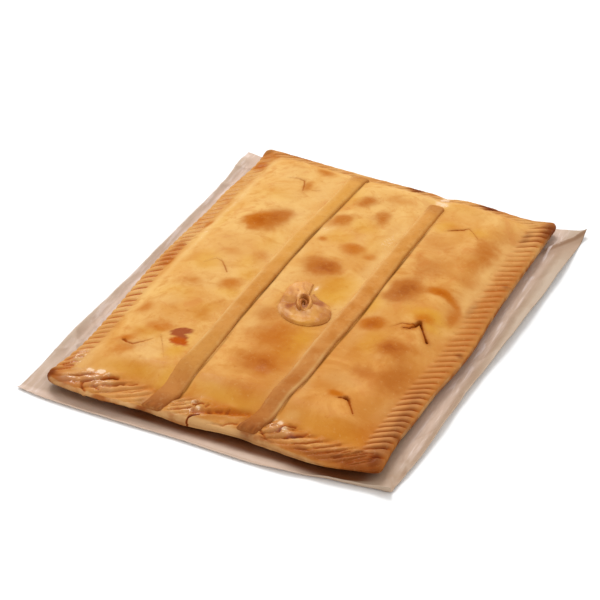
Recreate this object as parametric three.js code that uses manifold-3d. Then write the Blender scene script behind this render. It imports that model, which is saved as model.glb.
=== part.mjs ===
// A rectangular cod empanada: a filled pie with a crimped rim, two dough strips
// and a rolled dough rosette, lying on its baking paper. Millimetres, +Z up,
// front at -Y. The food's own origin is the middle of the pie, on the floor.
// An outline is a short list of [distance along, distance out] points.
import * as THREE from 'three';
import Module from 'manifold-3d';

const wasm = await Module();
wasm.setup();

// from the middle of the pie to the middle of the whole, paper included
const TO_MIDDLE = [-1.04, 5.52];
const GAP = 0.3;

// paper
const PAPER_THICK = 0.8;
const PAPER_SIDES = {
  front: [[-164, -205.5], [-140, -209.5], [-109, -211], [-59, -210.5], [0, -207], [49, -208.5], [81, -206.8],
    [101, -203.7], [123, -201], [151, -197.5], [166, -197]],
  back: [[-165, 200], [-129, 194], [1, 192], [131, 195], [166, 199]],
  left: [[-203, -162], [-153, -160.5], [-63, -158.5], [57, -158], [147, -158.5], [200, -164.5]],
  right: [[-198, 152], [-153, 156], [-63, 158], [27, 163.5], [127, 166.5], [200, 166]],
};
const PAPER_X = [-164, 166];
const PAPER_Y = [-203, 200];
// turned-up edges: where they start, how wide they are and how high they stand
const LEFT_LIP = { crease: -150, run: 11, high: 5.5, front: [-188, -113], back: [170, 200] };
const RIGHT_LIP = { crease: 149, run: 13, high: 7, back: [132, 182] };
const FRONT_LIP = { run: 4, low: 1.4, high: 7.8, rise: [30, 150] };
const BACK_CORNER = { high: 3, x: [120, 165], y: [183, 197] };
const PAPER_WAVES = [{ high: 0.8, long: 145, shift: 0 }, { high: 0.5, long: 57, shift: 1 }];
const WAVE_FULL_AT = 5;
const PAPER_ACROSS = [0, 0.018, 0.036, 0.12, 0.28, 0.44, 0.58, 0.7, 0.82, 0.92, 0.955, 0.978, 1];
const PAPER_ALONG = [0, 0.0099, 0.03, 0.09, 0.17, 0.24, 0.31, 0.38, 0.45, 0.52, 0.59, 0.66, 0.73, 0.8, 0.87,
  0.93, 0.975, 1];

// pie body
const HALF_W = 141.5;
const HALF_D = 190;
const BASE_Z = PAPER_THICK + GAP;
const BASE_INSET = 26;
const RIM_Z = 13.4;
const PANEL_Z = 22.3;
const CROWN = 1.4;
const PIE_SIDES = {
  front: [[-141.5, -191], [-125, -197], [-92, -199], [-60, -197], [-18, -194.5], [10, -193], [49, -192.5],
    [89, -196], [112, -195], [141.5, -187]],
  back: [[-141.5, 195.5], [-120, 195], [-79, 191], [-37, 188.5], [15, 186], [30, 184.5], [42, 183.5],
    [54, 185.8], [72, 185.5], [100, 183.5], [126, 182.5], [141.5, 186]],
  left: [[-190, -142], [-165, -139], [-134, -137], [-93, -138.5], [-44, -142], [0, -143.5], [75, -141.5],
    [107, -142], [160, -139], [190, -142.3]],
  right: [[-190, 138.5], [-160, 136], [-120, 137.5], [-85, 138.5], [-35, 143], [0, 143], [30, 141.5],
    [80, 141], [150, 141.5], [190, 141.5]],
};

// the slope from the rim up to the filled panel, as insets from each side
const SLOPE = { front: [15, 48], back: [14, 36], left: [17, 42], right: [17, 44] };

// the rim's underside lifts off the paper between its corners
const LIP_INSET = 1.2;
const LIP_CORNER_Z = 4.5;
const LIP_Z = { front: 6, right: 5.5, back: 4.5, left: 5 };
const LIP_BOW = 60;

// crimps: pitch along the side, drift along the side for each mm inwards, and
// the way round the pie in which the side is walked
const CRIMP = {
  front: { pitch: 11.4, drift: 1.9, walk: 1 },
  right: { pitch: 7.4, drift: -0.33, walk: 1 },
  back: { pitch: 11.4, drift: -2.1, walk: -1 },
  left: { pitch: 6.5, drift: 0.5, walk: -1 },
};
const CRIMP_DEPTH = 2.4;
const CRIMP_ABOVE = 0.35;
const CRIMP_MID = 11;
const CRIMP_LEAST = 0.22;
const CORNER_FADE = 16;
const CORNER_LEAST = 0.35;
const STRIP_CLEAR = [9, 14];
const PLAIN_ROLL = [-14, 25];
const ROLL_FADE = 4;
const CRIMP_RINGS = [
  { inset: 0, lift: -1.6, bite: 0.35 },
  { inset: 4, lift: -0.2, bite: 0.9 },
  { inset: 11, lift: 0.4, bite: 1 },
  { inset: 18.5, lift: 0.9, bite: 0.75 },
];
const GRID_INSET = 23;
const GRID_LIFT = 0.9;
const GRID_X = 28;
const GRID_Y = 38;
const BASE_STEPS = 10;
const LIP_STEPS = 24;

// dough strips: each centre line as [y, x], front end first
const STRIP_WIDTH = 15;
const STRIP_THICK = 3.2;
const STRIP_BED = 1.2;
const STRIP_REACH = 11;
const STRIP_DROP = 0.55;
const STRIP_STEP = 13;
const STRIP_RIM_STOPS = [0, 3, 8, 14, 21, 29, 38];
const STRIP_END = 3;
const END_THINNER = 0.8;
const END_NARROWER = 0.94;
// how deep a piece that lies on the crust reaches into it before it is trimmed
const TRIM_DEPTH = 2;
const STRIPS = {
  strip_left: {
    line: [[-197, -49], [-170, -46], [-100, -44], [60, -42.5], [176, -41]],
    front: -197.5,
    back: 175,
  },
  strip_right: {
    line: [[-192, 32], [-160, 36.5], [-100, 41], [0, 43], [156, 42.5]],
    front: -190,
    back: 157,
  },
};

// rosette: outline as [turn in degrees, radius], and rings as share of the
// radius and height over the crust
const ROSETTE_AT = [5, -34];
const ROSETTE_TURNS = 36;
const ROSETTE_OUTLINE = [[-180, 23], [-150, 22.5], [-100, 24.5], [-54, 27.5], [0, 24], [18, 19.5], [42, 12.5],
  [58, 13], [70, 22.5], [99, 28.5], [130, 28], [180, 23]];
const ROSETTE_RINGS = [[1, 2.2], [0.95, 3.6], [0.8, 4.6], [0.62, 5.2], [0.5, 4.4], [0.4, 8.6], [0.28, 8.8],
  [0.14, 3.6]];
const COIL_SHARE = 0.55;
const COIL_RADIUS = 24;
const COIL_HOLLOW = 2.6;
const COIL_WAVE = { high: 0.12, lean: 9, shift: 2.1 };

// steam vents: two cuts that meet at an apex, points as [x, y]
const VENTS = [
  { apex: [-76, 142], ends: [[-86, 141], [-70, 127]], wide: 1.6 },
  { apex: [-86, -3], ends: [[-99, -8], [-70, -24]], wide: 1.6 },
  { apex: [-101, -141], ends: [[-84, -131], [-107, -137]], wide: 2 },
  { apex: [84, 130], ends: [[66, 121], [97, 118]], wide: 1.8 },
  { apex: [97, -15], ends: [[79, -31], [112, -37]], wide: 3.4 },
  { apex: [86, -134], ends: [[73, -130], [98, -151]], wide: 2.4 },
];
const VENT_DEPTH = 5;
const VENT_END = 0.7;
const VENT_LIP = { wide: 5, high: 0.5, open: 0.3, stops: [0, 0.5, 0.95], shrink: 0.55 };
const SLIT = { from: [-74, -124], to: [-64, -144], wide: 1.4, end: 0.6, deep: 3 };
const CRACK = { from: [-15, -184], to: [-11, -201], wide: 1.6, end: 1.6, deep: 3 };
const CUT_ABOVE = 4;

// flaked crust: x, y, half width, half depth
const FLAKES = [[-68, -110, 8, 7], [-64, -121, 7, 4.5]];
const FLAKE = { sides: 9, top: 1.3, edge: 0.5, under: -1.5, ragged: 0.12 };

// blisters: x, y, half width, half depth, height
const BLISTERS = [
  [-82, 75, 22, 17, 1.2], [-16, 133, 13, 11, 1.0], [7, 118, 14, 12, 0.9], [-22, 98, 13, 12, 0.9],
  [5, 58, 16, 11, 0.8], [-8, 25, 19, 13, 1.3], [10, -115, 20, 16, 1.2], [-12, -68, 22, 10, 0.8],
  [66, 22, 15, 19, 1.1], [64, -32, 11, 10, 0.9], [90, -58, 16, 14, 1.1], [108, -84, 16, 12, 0.9],
  [-62, -60, 14, 16, 0.8], [-88, -112, 15, 10, 0.7], [108, 104, 20, 16, 0.8], [-98, -168, 12, 7, 1.6],
  [-14, -172, 10, 7, 1.2], [58, -172, 12, 7, 1.5],
];
const BLISTER_FALL = 1.6;

const COLOURS = { crust: 0xe2a154, strip: 0xc88548, rosette: 0xdb9c55, paper: 0xd3b8a4 };

// a smooth line through a few points
function through(points) {
  const slopes = points.map((_, i) => {
    const a = points[Math.max(i - 1, 0)];
    const b = points[Math.min(i + 1, points.length - 1)];
    return (b[1] - a[1]) / (b[0] - a[0]);
  });
  return (t) => {
    let i = 0;
    while (i < points.length - 2 && t > points[i + 1][0]) {
      i += 1;
    }
    const [x0, y0] = points[i];
    const [x1, y1] = points[i + 1];
    const h = x1 - x0;
    const s = Math.min(1, Math.max(0, (t - x0) / h));
    const s2 = s * s;
    const s3 = s2 * s;
    return y0 * (2 * s3 - 3 * s2 + 1) + slopes[i] * h * (s3 - 2 * s2 + s)
      + y1 * (3 * s2 - 2 * s3) + slopes[i + 1] * h * (s3 - s2);
  };
}

function lines(sides) {
  return Object.fromEntries(Object.entries(sides).map(([side, points]) => [side, through(points)]));
}

function ease(value, from, to) {
  const s = Math.min(1, Math.max(0, (value - from) / (to - from)));
  return s * s * (3 - 2 * s);
}

const pieSide = lines(PIE_SIDES);
const paperSide = lines(PAPER_SIDES);
const stripCentre = Object.values(STRIPS).map((strip) => through(strip.line));

// a closed solid under construction
class Shell {
  constructor() {
    this.points = [];
    this.faces = [];
  }

  add(x, y, z) {
    this.points.push([x, y, z]);
    return this.points.length - 1;
  }

  quad(a, b, c, d) {
    this.faces.push([a, b, c], [a, c, d]);
  }

  // walls between rings of the same number of points
  skin(rings) {
    rings.slice(1).forEach((ring, n) => {
      ring.forEach((id, i) => {
        const j = (i + 1) % ring.length;
        this.quad(rings[n][i], rings[n][j], ring[j], id);
      });
    });
  }

  // joins two rows whose points are sorted by phase; the outer row comes first
  zip(outer, inner) {
    let i = 0;
    let j = 0;
    while (i < outer.length - 1 || j < inner.length - 1) {
      const stepOuter = j === inner.length - 1
        || (i < outer.length - 1 && outer[i + 1].phase <= inner[j + 1].phase);
      if (stepOuter) {
        this.faces.push([outer[i].id, outer[i + 1].id, inner[j].id]);
        i += 1;
      } else {
        this.faces.push([outer[i].id, inner[j + 1].id, inner[j].id]);
        j += 1;
      }
    }
  }

  solid() {
    const mesh = new wasm.Mesh({
      numProp: 3,
      vertProperties: new Float32Array(this.points.flat()),
      triVerts: new Uint32Array(this.faces.flat()),
    });
    return new wasm.Manifold(mesh);
  }
}

// the plain rectangle bent to the pie's real outline
function bend(x, y) {
  const s = (x + HALF_W) / (2 * HALF_W);
  const t = (y + HALF_D) / (2 * HALF_D);
  return [
    pieSide.left(y) * (1 - s) + pieSide.right(y) * s,
    pieSide.front(x) * (1 - t) + pieSide.back(x) * t,
  ];
}

function panelRise(x, y) {
  return ease(x + HALF_W, ...SLOPE.left) * ease(HALF_W - x, ...SLOPE.right)
    * ease(y + HALF_D, ...SLOPE.front) * ease(HALF_D - y, ...SLOPE.back);
}

// height of the crust without its crimps
function crustZ(x, y) {
  const crown = CROWN * (1 - (x / HALF_W) ** 2) * (1 - (y / HALF_D) ** 2);
  const rise = panelRise(x, y);
  let z = RIM_Z + rise * (PANEL_Z - RIM_Z + crown);
  for (const centre of stripCentre) {
    z -= STRIP_BED * rise * Math.exp(-(((x - centre(y)) / STRIP_REACH) ** 2));
  }
  for (const [bx, by, halfX, halfY, high] of BLISTERS) {
    const far = ((x - bx) / halfX) ** 2 + ((y - by) / halfY) ** 2;
    z += high * Math.exp(-BLISTER_FALL * far);
  }
  return z;
}

// a point on one side: distance along it and inset from it
const PLACE = {
  front: (along, inset) => [along, inset - HALF_D],
  right: (along, inset) => [HALF_W - inset, along],
  back: (along, inset) => [along, HALF_D - inset],
  left: (along, inset) => [inset - HALF_W, along],
};
const SIDES = Object.keys(PLACE);

function sideHalf(side) {
  return side === 'front' || side === 'back' ? HALF_W : HALF_D;
}

// which crimp a point belongs to: whole numbers are the grooves
function phaseAt(side, along, inset) {
  const { walk, drift, pitch } = CRIMP[side];
  return walk * (along - drift * (inset - CRIMP_MID)) / pitch;
}

function alongAt(side, phase, inset) {
  const { walk, drift, pitch } = CRIMP[side];
  return walk * phase * pitch + drift * (inset - CRIMP_MID);
}

// crimps fade at the corners, under the strips and along the plain roll in front
function crimpStrength(side, along, x, y) {
  const fromCorner = ease(sideHalf(side) - Math.abs(along), 0, CORNER_FADE);
  let strength = CORNER_LEAST + (1 - CORNER_LEAST) * fromCorner;
  if (side === 'front' || side === 'back') {
    stripCentre.forEach((centre, i) => {
      const reached = side === 'front' || i === 0;
      strength *= reached ? ease(Math.abs(x - centre(y)), ...STRIP_CLEAR) : 1;
    });
  }
  if (side === 'front') {
    const [from, to] = PLAIN_ROLL;
    strength *= 1 - ease(x, from - ROLL_FADE, from) * (1 - ease(x, to, to + ROLL_FADE));
  }
  return strength;
}

// one side of a ring, with a point on every groove and ridge
function crimpedRow(side, inset) {
  const { walk } = CRIMP[side];
  const reach = walk * (sideHalf(side) - inset);
  const first = phaseAt(side, -reach, inset);
  const last = phaseAt(side, reach, inset);
  const row = [{ along: -reach, phase: first }];
  for (let k = Math.ceil((first + CRIMP_LEAST) * 2); k / 2 < last - CRIMP_LEAST; k += 1) {
    row.push({ along: alongAt(side, k / 2, inset), phase: k / 2 });
  }
  return row;
}

function spread(half, count) {
  return Array.from({ length: count + 1 }, (_, i) => -half + (2 * half * i) / count);
}

// one side of a ring, evenly divided
function evenRow(count) {
  return (side, inset) => {
    const stops = spread(CRIMP[side].walk * (sideHalf(side) - inset), count);
    return stops.slice(0, -1).map((along) => ({ along, phase: phaseAt(side, along, inset) }));
  };
}

// a closed ring round the pie, as four rows that share their corner points
function addRing(shell, inset, rowOf, heightOf) {
  const rows = SIDES.map((side) => rowOf(side, inset));
  rows.forEach((row, n) => {
    for (const point of row) {
      const [x, y] = PLACE[SIDES[n]](point.along, inset);
      const [bentX, bentY] = bend(x, y);
      point.id = shell.add(bentX, bentY, heightOf(SIDES[n], point, x, y));
    }
  });
  return rows.map((row, n) => {
    const side = SIDES[n];
    const end = CRIMP[side].walk * (sideHalf(side) - inset);
    return [...row, { id: rows[(n + 1) % 4][0].id, phase: phaseAt(side, end, inset) }];
  });
}

function joinRings(shell, outer, inner) {
  outer.forEach((row, n) => shell.zip(row, inner[n]));
}

function lipZ(side, point) {
  const bow = ease(sideHalf(side) - Math.abs(point.along), 0, LIP_BOW);
  return LIP_CORNER_Z + (LIP_Z[side] - LIP_CORNER_Z) * bow;
}

// the flat underside and the edge that lifts off the paper
function addUnderside(shell) {
  const base = addRing(shell, BASE_INSET, evenRow(BASE_STEPS), () => BASE_Z);
  const middle = shell.add(0, 0, BASE_Z);
  for (const row of base) {
    for (let i = 0; i < row.length - 1; i += 1) {
      shell.faces.push([middle, row[i + 1].id, row[i].id]);
    }
  }
  const lip = addRing(shell, LIP_INSET, evenRow(LIP_STEPS), lipZ);
  joinRings(shell, base, lip);
  return lip;
}

function addCrimps(shell, lip) {
  let outer = lip;
  for (const { inset, lift, bite } of CRIMP_RINGS) {
    const ring = addRing(shell, inset, crimpedRow, (side, point, x, y) => {
      const groove = 0.5 + 0.5 * Math.cos(2 * Math.PI * point.phase);
      const depth = CRIMP_DEPTH * bite * crimpStrength(side, point.along, x, y);
      return crustZ(x, y) + lift + depth * (CRIMP_ABOVE - groove);
    });
    joinRings(shell, outer, ring);
    outer = ring;
  }
  return outer;
}

// the filled middle, as a grid whose edge rows meet the crimps
function addPanels(shell, crimps) {
  const xs = spread(HALF_W - GRID_INSET, GRID_X);
  const ys = spread(HALF_D - GRID_INSET, GRID_Y);
  const ids = ys.map((y) => xs.map((x) => {
    const [bentX, bentY] = bend(x, y);
    return shell.add(bentX, bentY, crustZ(x, y) + GRID_LIFT * (1 - panelRise(x, y)));
  }));
  for (let j = 0; j < GRID_Y; j += 1) {
    for (let i = 0; i < GRID_X; i += 1) {
      shell.quad(ids[j][i], ids[j][i + 1], ids[j + 1][i + 1], ids[j + 1][i]);
    }
  }
  const row = (side, stops, idOf) => stops.map((along, i) => {
    return { id: idOf(i), phase: phaseAt(side, along, GRID_INSET) };
  });
  joinRings(shell, crimps, [
    row('front', xs, (i) => ids[0][i]),
    row('right', ys, (i) => ids[i][GRID_X]),
    row('back', xs, (i) => ids[GRID_Y][i]).reverse(),
    row('left', ys, (i) => ids[i][0]).reverse(),
  ]);
}

// a unit step across the line from a to b
function across(a, b) {
  const long = Math.hypot(b[0] - a[0], b[1] - a[1]);
  return [(a[1] - b[1]) / long, (b[0] - a[0]) / long];
}

// the wedge that a knife takes out between two points
function cut({ from, to, wide, end, deep }) {
  const shell = new Shell();
  const [nx, ny] = across(from, to);
  const ends = [[from, wide], [to, end]].map(([[x, y], width]) => {
    const z = crustZ(x, y);
    return [
      shell.add(x + nx * width / 2, y + ny * width / 2, z + CUT_ABOVE),
      shell.add(x - nx * width / 2, y - ny * width / 2, z + CUT_ABOVE),
      shell.add(x, y, z - deep * (width / wide)),
    ];
  });
  shell.skin(ends);
  const [near, far] = ends;
  shell.faces.push([near[0], near[2], near[1]], [far[0], far[1], far[2]]);
  return shell.solid();
}

// a low ridge of lifted dough along the outer side of a cut
function ventLip(vent, end) {
  const shell = new Shell();
  const high = VENT_LIP.high + vent.wide * VENT_LIP.open;
  const [nx, ny] = across(vent.apex, end);
  const side = end[0] < vent.apex[0] ? -1 : 1;
  const section = [[0.5, -1.5], [VENT_LIP.wide, -1.5], [2.2, high], [0.7, high * 0.7]];
  const rings = VENT_LIP.stops.map((s) => section.map(([out, up]) => {
    const size = 1 - VENT_LIP.shrink * s;
    const x = vent.apex[0] + (end[0] - vent.apex[0]) * s + nx * side * out * size;
    const y = vent.apex[1] + (end[1] - vent.apex[1]) * s + ny * side * out * size;
    return shell.add(x, y, crustZ(x, y) + (up > 0 ? up * size : up));
  }));
  if (side < 0) {
    rings.forEach((ring) => ring.reverse());
  }
  shell.skin(rings);
  const [near, , far] = rings;
  shell.quad(near[3], near[2], near[1], near[0]);
  shell.quad(far[0], far[1], far[2], far[3]);
  return shell.solid();
}

function flake([x, y, halfX, halfY]) {
  const shell = new Shell();
  const z = crustZ(x, y);
  const top = shell.add(x, y, z + FLAKE.top);
  const under = shell.add(x, y, z + FLAKE.under);
  const ring = Array.from({ length: FLAKE.sides }, (_, i) => {
    const turn = (2 * Math.PI * i) / FLAKE.sides;
    const r = 1 + FLAKE.ragged * Math.sin(3 * turn + x);
    return shell.add(x + halfX * r * Math.cos(turn), y + halfY * r * Math.sin(turn), z + FLAKE.edge);
  });
  ring.forEach((id, i) => {
    const next = ring[(i + 1) % FLAKE.sides];
    shell.faces.push([id, next, top], [next, id, under]);
  });
  return shell.solid();
}

function pie() {
  const shell = new Shell();
  addPanels(shell, addCrimps(shell, addUnderside(shell)));
  const arms = VENTS.flatMap((vent) => vent.ends.map((end) => [vent, end]));
  const raised = [...arms.map(([vent, end]) => ventLip(vent, end)), ...FLAKES.map(flake)];
  const cuts = arms.map(([vent, end]) => cut({
    from: vent.apex, to: end, wide: vent.wide, end: VENT_END, deep: VENT_DEPTH,
  }));
  const whole = raised.reduce((body, part) => body.add(part), shell.solid());
  return [...cuts, cut(SLIT), cut(CRACK)].reduce((body, part) => body.subtract(part), whole);
}

// where the sections of a strip lie: close together over the rim, then even
function stripStops(front, back) {
  const near = STRIP_RIM_STOPS.map((y) => front + y);
  const start = near[near.length - 1];
  const end = back - STRIP_END;
  const count = Math.ceil((end - start) / STRIP_STEP);
  const rest = Array.from({ length: count }, (_, i) => start + ((end - start) * (i + 1)) / count);
  return [...near, ...rest, back];
}

// a band of dough laid over the crust, deeper than it, to be trimmed by it
function strip({ line, front, back }) {
  const shell = new Shell();
  const centre = through(line);
  const half = STRIP_WIDTH / 2;
  const top = STRIP_THICK;
  const section = [[-half, -TRIM_DEPTH], [half, -TRIM_DEPTH], [half, top - 1.5], [half - 1.6, top - 0.2],
    [3, top + 0.2], [-3, top + 0.2], [1.6 - half, top - 0.2], [-half, top - 1.5]];
  const stops = stripStops(front, back);
  const rings = stops.map((y, n) => {
    const x = centre(y);
    const isEnd = n === 0 || n === stops.length - 1;
    const narrow = isEnd ? END_NARROWER : 1;
    const highest = isEnd ? top - END_THINNER : Infinity;
    const edgeY = pieSide.front(x);
    const over = Math.max(0, edgeY + 4 - y);
    const z = crustZ(x, Math.max(y, edgeY + 1)) - over * STRIP_DROP;
    return section.map(([out, up]) => shell.add(x + out * narrow, y, z + Math.min(up, highest)));
  });
  rings.forEach((ring) => ring.reverse());
  shell.skin(rings);
  const first = rings[0];
  const last = rings[rings.length - 1];
  for (let i = 1; i < section.length - 1; i += 1) {
    shell.faces.push([first[0], first[i + 1], first[i]], [last[0], last[i], last[i + 1]]);
  }
  return shell.solid();
}

// a strip of dough rolled into a rose: a low outer wrap round a standing coil
function rosette() {
  const shell = new Shell();
  const outline = through(ROSETTE_OUTLINE);
  const [middleX, middleY] = ROSETTE_AT;
  const ringAt = ([share, lift]) => Array.from({ length: ROSETTE_TURNS }, (_, i) => {
    const turn = -180 + (360 * i) / ROSETTE_TURNS;
    const angle = (turn * Math.PI) / 180;
    const wrap = outline(turn);
    const r = share > COIL_SHARE ? wrap * share : Math.min(COIL_RADIUS * share, wrap * 0.8);
    const x = middleX + r * Math.cos(angle);
    const y = middleY + r * Math.sin(angle);
    const swing = Math.sin(2 * angle + COIL_WAVE.lean * share - COIL_WAVE.shift);
    const wave = lift > 0 ? 1 + COIL_WAVE.high * swing : 1;
    return shell.add(x, y, crustZ(x, y) + lift * wave);
  });
  const rings = [[1, -TRIM_DEPTH], ...ROSETTE_RINGS].map(ringAt);
  shell.skin(rings);
  const floor = crustZ(middleX, middleY);
  const hollow = shell.add(middleX, middleY, floor + COIL_HOLLOW);
  const under = shell.add(middleX, middleY, floor - TRIM_DEPTH);
  const inner = rings[rings.length - 1];
  inner.forEach((id, i) => {
    const j = (i + 1) % ROSETTE_TURNS;
    shell.faces.push([id, inner[j], hollow], [rings[0][j], rings[0][i], under]);
  });
  return shell.solid();
}

// how high the paper's turned-up edge stands
function paperLift(x, y) {
  const left = LEFT_LIP.high * ease(LEFT_LIP.crease - x, 0, LEFT_LIP.run)
    * ease(y, ...LEFT_LIP.front) * (1 - ease(y, ...LEFT_LIP.back));
  const right = RIGHT_LIP.high * ease(x - RIGHT_LIP.crease, 0, RIGHT_LIP.run)
    * (1 - ease(y, ...RIGHT_LIP.back));
  const front = ease(paperSide.front(x) + FRONT_LIP.run - y, 0, FRONT_LIP.run)
    * (FRONT_LIP.low + (FRONT_LIP.high - FRONT_LIP.low) * ease(x, ...FRONT_LIP.rise));
  const corner = BACK_CORNER.high * ease(y, ...BACK_CORNER.y) * ease(x, ...BACK_CORNER.x);
  let wave = 0;
  for (const { high, long, shift } of PAPER_WAVES) {
    wave += high * Math.sin((2 * Math.PI * y) / long + shift) * Math.min(1, (left + right) / WAVE_FULL_AT);
  }
  return Math.max(0, Math.max(left + right, front, corner) + wave);
}

function paper() {
  const shell = new Shell();
  const layer = (lift) => PAPER_ALONG.map((t) => PAPER_ACROSS.map((s) => {
    const flatX = PAPER_X[0] * (1 - s) + PAPER_X[1] * s;
    const flatY = PAPER_Y[0] * (1 - t) + PAPER_Y[1] * t;
    const x = paperSide.left(flatY) * (1 - s) + paperSide.right(flatY) * s;
    const y = paperSide.front(flatX) * (1 - t) + paperSide.back(flatX) * t;
    return shell.add(x, y, lift + paperLift(x, y));
  }));
  const top = layer(PAPER_THICK);
  const under = layer(0);
  const nx = PAPER_ACROSS.length - 1;
  const ny = PAPER_ALONG.length - 1;
  for (let j = 0; j < ny; j += 1) {
    for (let i = 0; i < nx; i += 1) {
      shell.quad(top[j][i], top[j][i + 1], top[j + 1][i + 1], top[j + 1][i]);
      shell.quad(under[j][i], under[j + 1][i], under[j + 1][i + 1], under[j][i + 1]);
    }
  }
  for (let i = 0; i < nx; i += 1) {
    shell.quad(under[0][i], under[0][i + 1], top[0][i + 1], top[0][i]);
    shell.quad(under[ny][i + 1], under[ny][i], top[ny][i], top[ny][i + 1]);
  }
  for (let j = 0; j < ny; j += 1) {
    shell.quad(under[j + 1][0], under[j][0], top[j][0], top[j + 1][0]);
    shell.quad(under[j][nx], under[j + 1][nx], top[j + 1][nx], top[j][nx]);
  }
  return shell.solid();
}

function named(name, solid, color, roughness) {
  const mesh = solid.getMesh();
  const geometry = new THREE.BufferGeometry();
  geometry.setAttribute('position', new THREE.BufferAttribute(mesh.vertProperties, 3));
  geometry.setIndex(new THREE.BufferAttribute(mesh.triVerts, 1));
  geometry.computeVertexNormals();
  const out = new THREE.Mesh(geometry, new THREE.MeshStandardMaterial({ color, roughness, metalness: 0 }));
  out.name = name;
  return out;
}

const pieSolid = pie();
const trim = pieSolid.translate([0, -GAP, GAP]);
const group = new THREE.Group();
group.position.set(...TO_MIDDLE, 0);
group.add(named('pie', pieSolid, COLOURS.crust, 0.5));
for (const [name, shape] of Object.entries(STRIPS)) {
  group.add(named(name, strip(shape).subtract(trim), COLOURS.strip, 0.65));
}
group.add(named('rosette', rosette().subtract(trim), COLOURS.rosette, 0.5));
group.add(named('paper', paper(), COLOURS.paper, 0.8));

export default group;
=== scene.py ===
"""A rectangular cod empanada on its baking paper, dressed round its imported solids.

Shapes are worked out in millimetres from the middle of the pie, on the floor,
and put into the frame's metres at the end. Front is -Y.
"""

import math

import bmesh
import bpy
import numpy as np
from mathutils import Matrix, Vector, noise

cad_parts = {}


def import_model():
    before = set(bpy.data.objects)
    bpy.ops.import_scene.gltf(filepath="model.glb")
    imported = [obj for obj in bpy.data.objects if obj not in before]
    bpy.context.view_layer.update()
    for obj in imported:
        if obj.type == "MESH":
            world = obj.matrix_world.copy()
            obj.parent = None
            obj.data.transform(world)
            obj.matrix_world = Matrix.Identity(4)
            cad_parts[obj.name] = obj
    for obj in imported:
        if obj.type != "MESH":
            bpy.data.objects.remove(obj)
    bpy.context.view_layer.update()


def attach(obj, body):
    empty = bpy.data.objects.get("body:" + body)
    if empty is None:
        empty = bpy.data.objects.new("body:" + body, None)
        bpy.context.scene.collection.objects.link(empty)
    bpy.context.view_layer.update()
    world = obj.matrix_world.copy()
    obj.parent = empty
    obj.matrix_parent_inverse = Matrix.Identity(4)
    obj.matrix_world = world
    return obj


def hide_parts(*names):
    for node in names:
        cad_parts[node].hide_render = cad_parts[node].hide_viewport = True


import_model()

MM = 0.001
# from the middle of the pie to the middle of the whole, paper included
TO_MIDDLE = np.array([-1.04, 5.52, 0.0])

# pie body, as in the solids
HALF_W = 141.5
HALF_D = 190.0
BASE_Z = 1.1
# how far in from its edge the pie rests on the paper
BASE_INSET = 26.0
RIM_Z = 13.4
PANEL_Z = 22.3
CROWN = 1.4
SIDES = ("front", "right", "back", "left")
PIE_SIDES = {
    "front": [(-141.5, -192), (-125, -197.5), (-92, -199), (-60, -197), (-18, -194.5), (10, -193),
              (49, -192.5), (89, -196), (112, -194.5), (141.5, -185.5)],
    "back": [(-141.5, 196.5), (-120, 195), (-79, 192), (-37, 189.8), (15, 188), (30, 187), (41, 184.5),
             (54, 188.5), (72, 188.5), (100, 185), (122, 184), (141.5, 190)],
    "left": [(-190, -144), (-165, -139), (-134, -137), (-93, -138.5), (-44, -142), (0, -143.5), (75, -141.5),
             (107, -142), (160, -139), (190, -142.3)],
    "right": [(-190, 138.5), (-160, 136), (-120, 137.5), (-85, 138.5), (-35, 143), (0, 143), (30, 141.5),
              (80, 141), (150, 141.5), (190, 141.5)],
}
SLOPE = {"front": (15, 48), "back": (10, 30), "left": (12, 46), "right": (17, 44)}
# how much each side's slope swells like a pillow
PILLOWY = {"front": 0.0, "back": 0.8, "left": 0.8, "right": 0.2}
CORNER_ROUND = {(-1, -1): 8, (1, -1): 6, (1, 1): 6, (-1, 1): 6}
LIP_CORNER_Z = 4.5
LIP_Z = {"front": 6, "right": 5.5, "back": 4.5, "left": 5}
LIP_BOW = 60
LOWEST_LIP = 3.5
THINNEST_RIM = 3
# how tall the front wall stands along x
FRONT_WALL = [(-141.5, 4), (-120, 2.8), (-88, 3), (-56, 2.6), (-36, 5), (-19, 7.7), (26, 5.2), (48, 7.2),
              (87, 5.6), (118, 3.8), (141.5, 5)]

# crimps: where each groove crosses a line at an inset from its side, and how the grooves slant inwards
GROOVES = {
    "front": [-150, -136, -121, -106, -92, -77, -61, -47, -37, -28, -18, -8, 4, 16, 28, 41, 54, 68, 80, 92,
              104, 116, 128, 141, 154],
    "right": [-190, -178, -167, -160, -152.5, -145, -137.5, -130.5, -122.5, -115, -106.5, -98.5, -91, -84,
              -76.5, -68, -59, -50, -42, -33, -26, -17, -9, 0, 8.5, 17, 25, 33, 41, 50, 58, 68, 77.5, 85.5,
              93, 101.5, 110, 119, 127, 135, 143, 151.5, 160, 167.5, 176, 185, 194],
    "back": [11.4 * i - 154 for i in range(28)],
    "left": [-192, -184, -176, -168, -160, -152, -144, -136, -128, -121.5, -115, -107, -98.5, -90, -81.5,
             -73.5, -64, -54.5, -45.5, -37, -27, -18, -10, -2, 6, 13.5, 21.5, 29, 37, 45, 53, 61, 70, 78,
             86, 95, 104, 112, 121, 130, 139, 148, 157, 166, 175, 184, 193],
}
# how narrow and how strong the painted shade in the grooves is
GROOVE_NARROW = {"front": 2.6, "right": 1.8, "back": 2.6, "left": 1.8}
GROOVE_SHADE_STRENGTH = {"front": 1.0, "right": 1.4, "back": 1.0, "left": 1.7}
GROOVE_AT = {"front": 11, "right": 5, "back": 11, "left": 9}
SLANT = {"front": 1.5, "right": -0.34, "back": -1.7, "left": 1.0}
FAN = {"front": (10, 4), "back": (-10, 4)}
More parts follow.
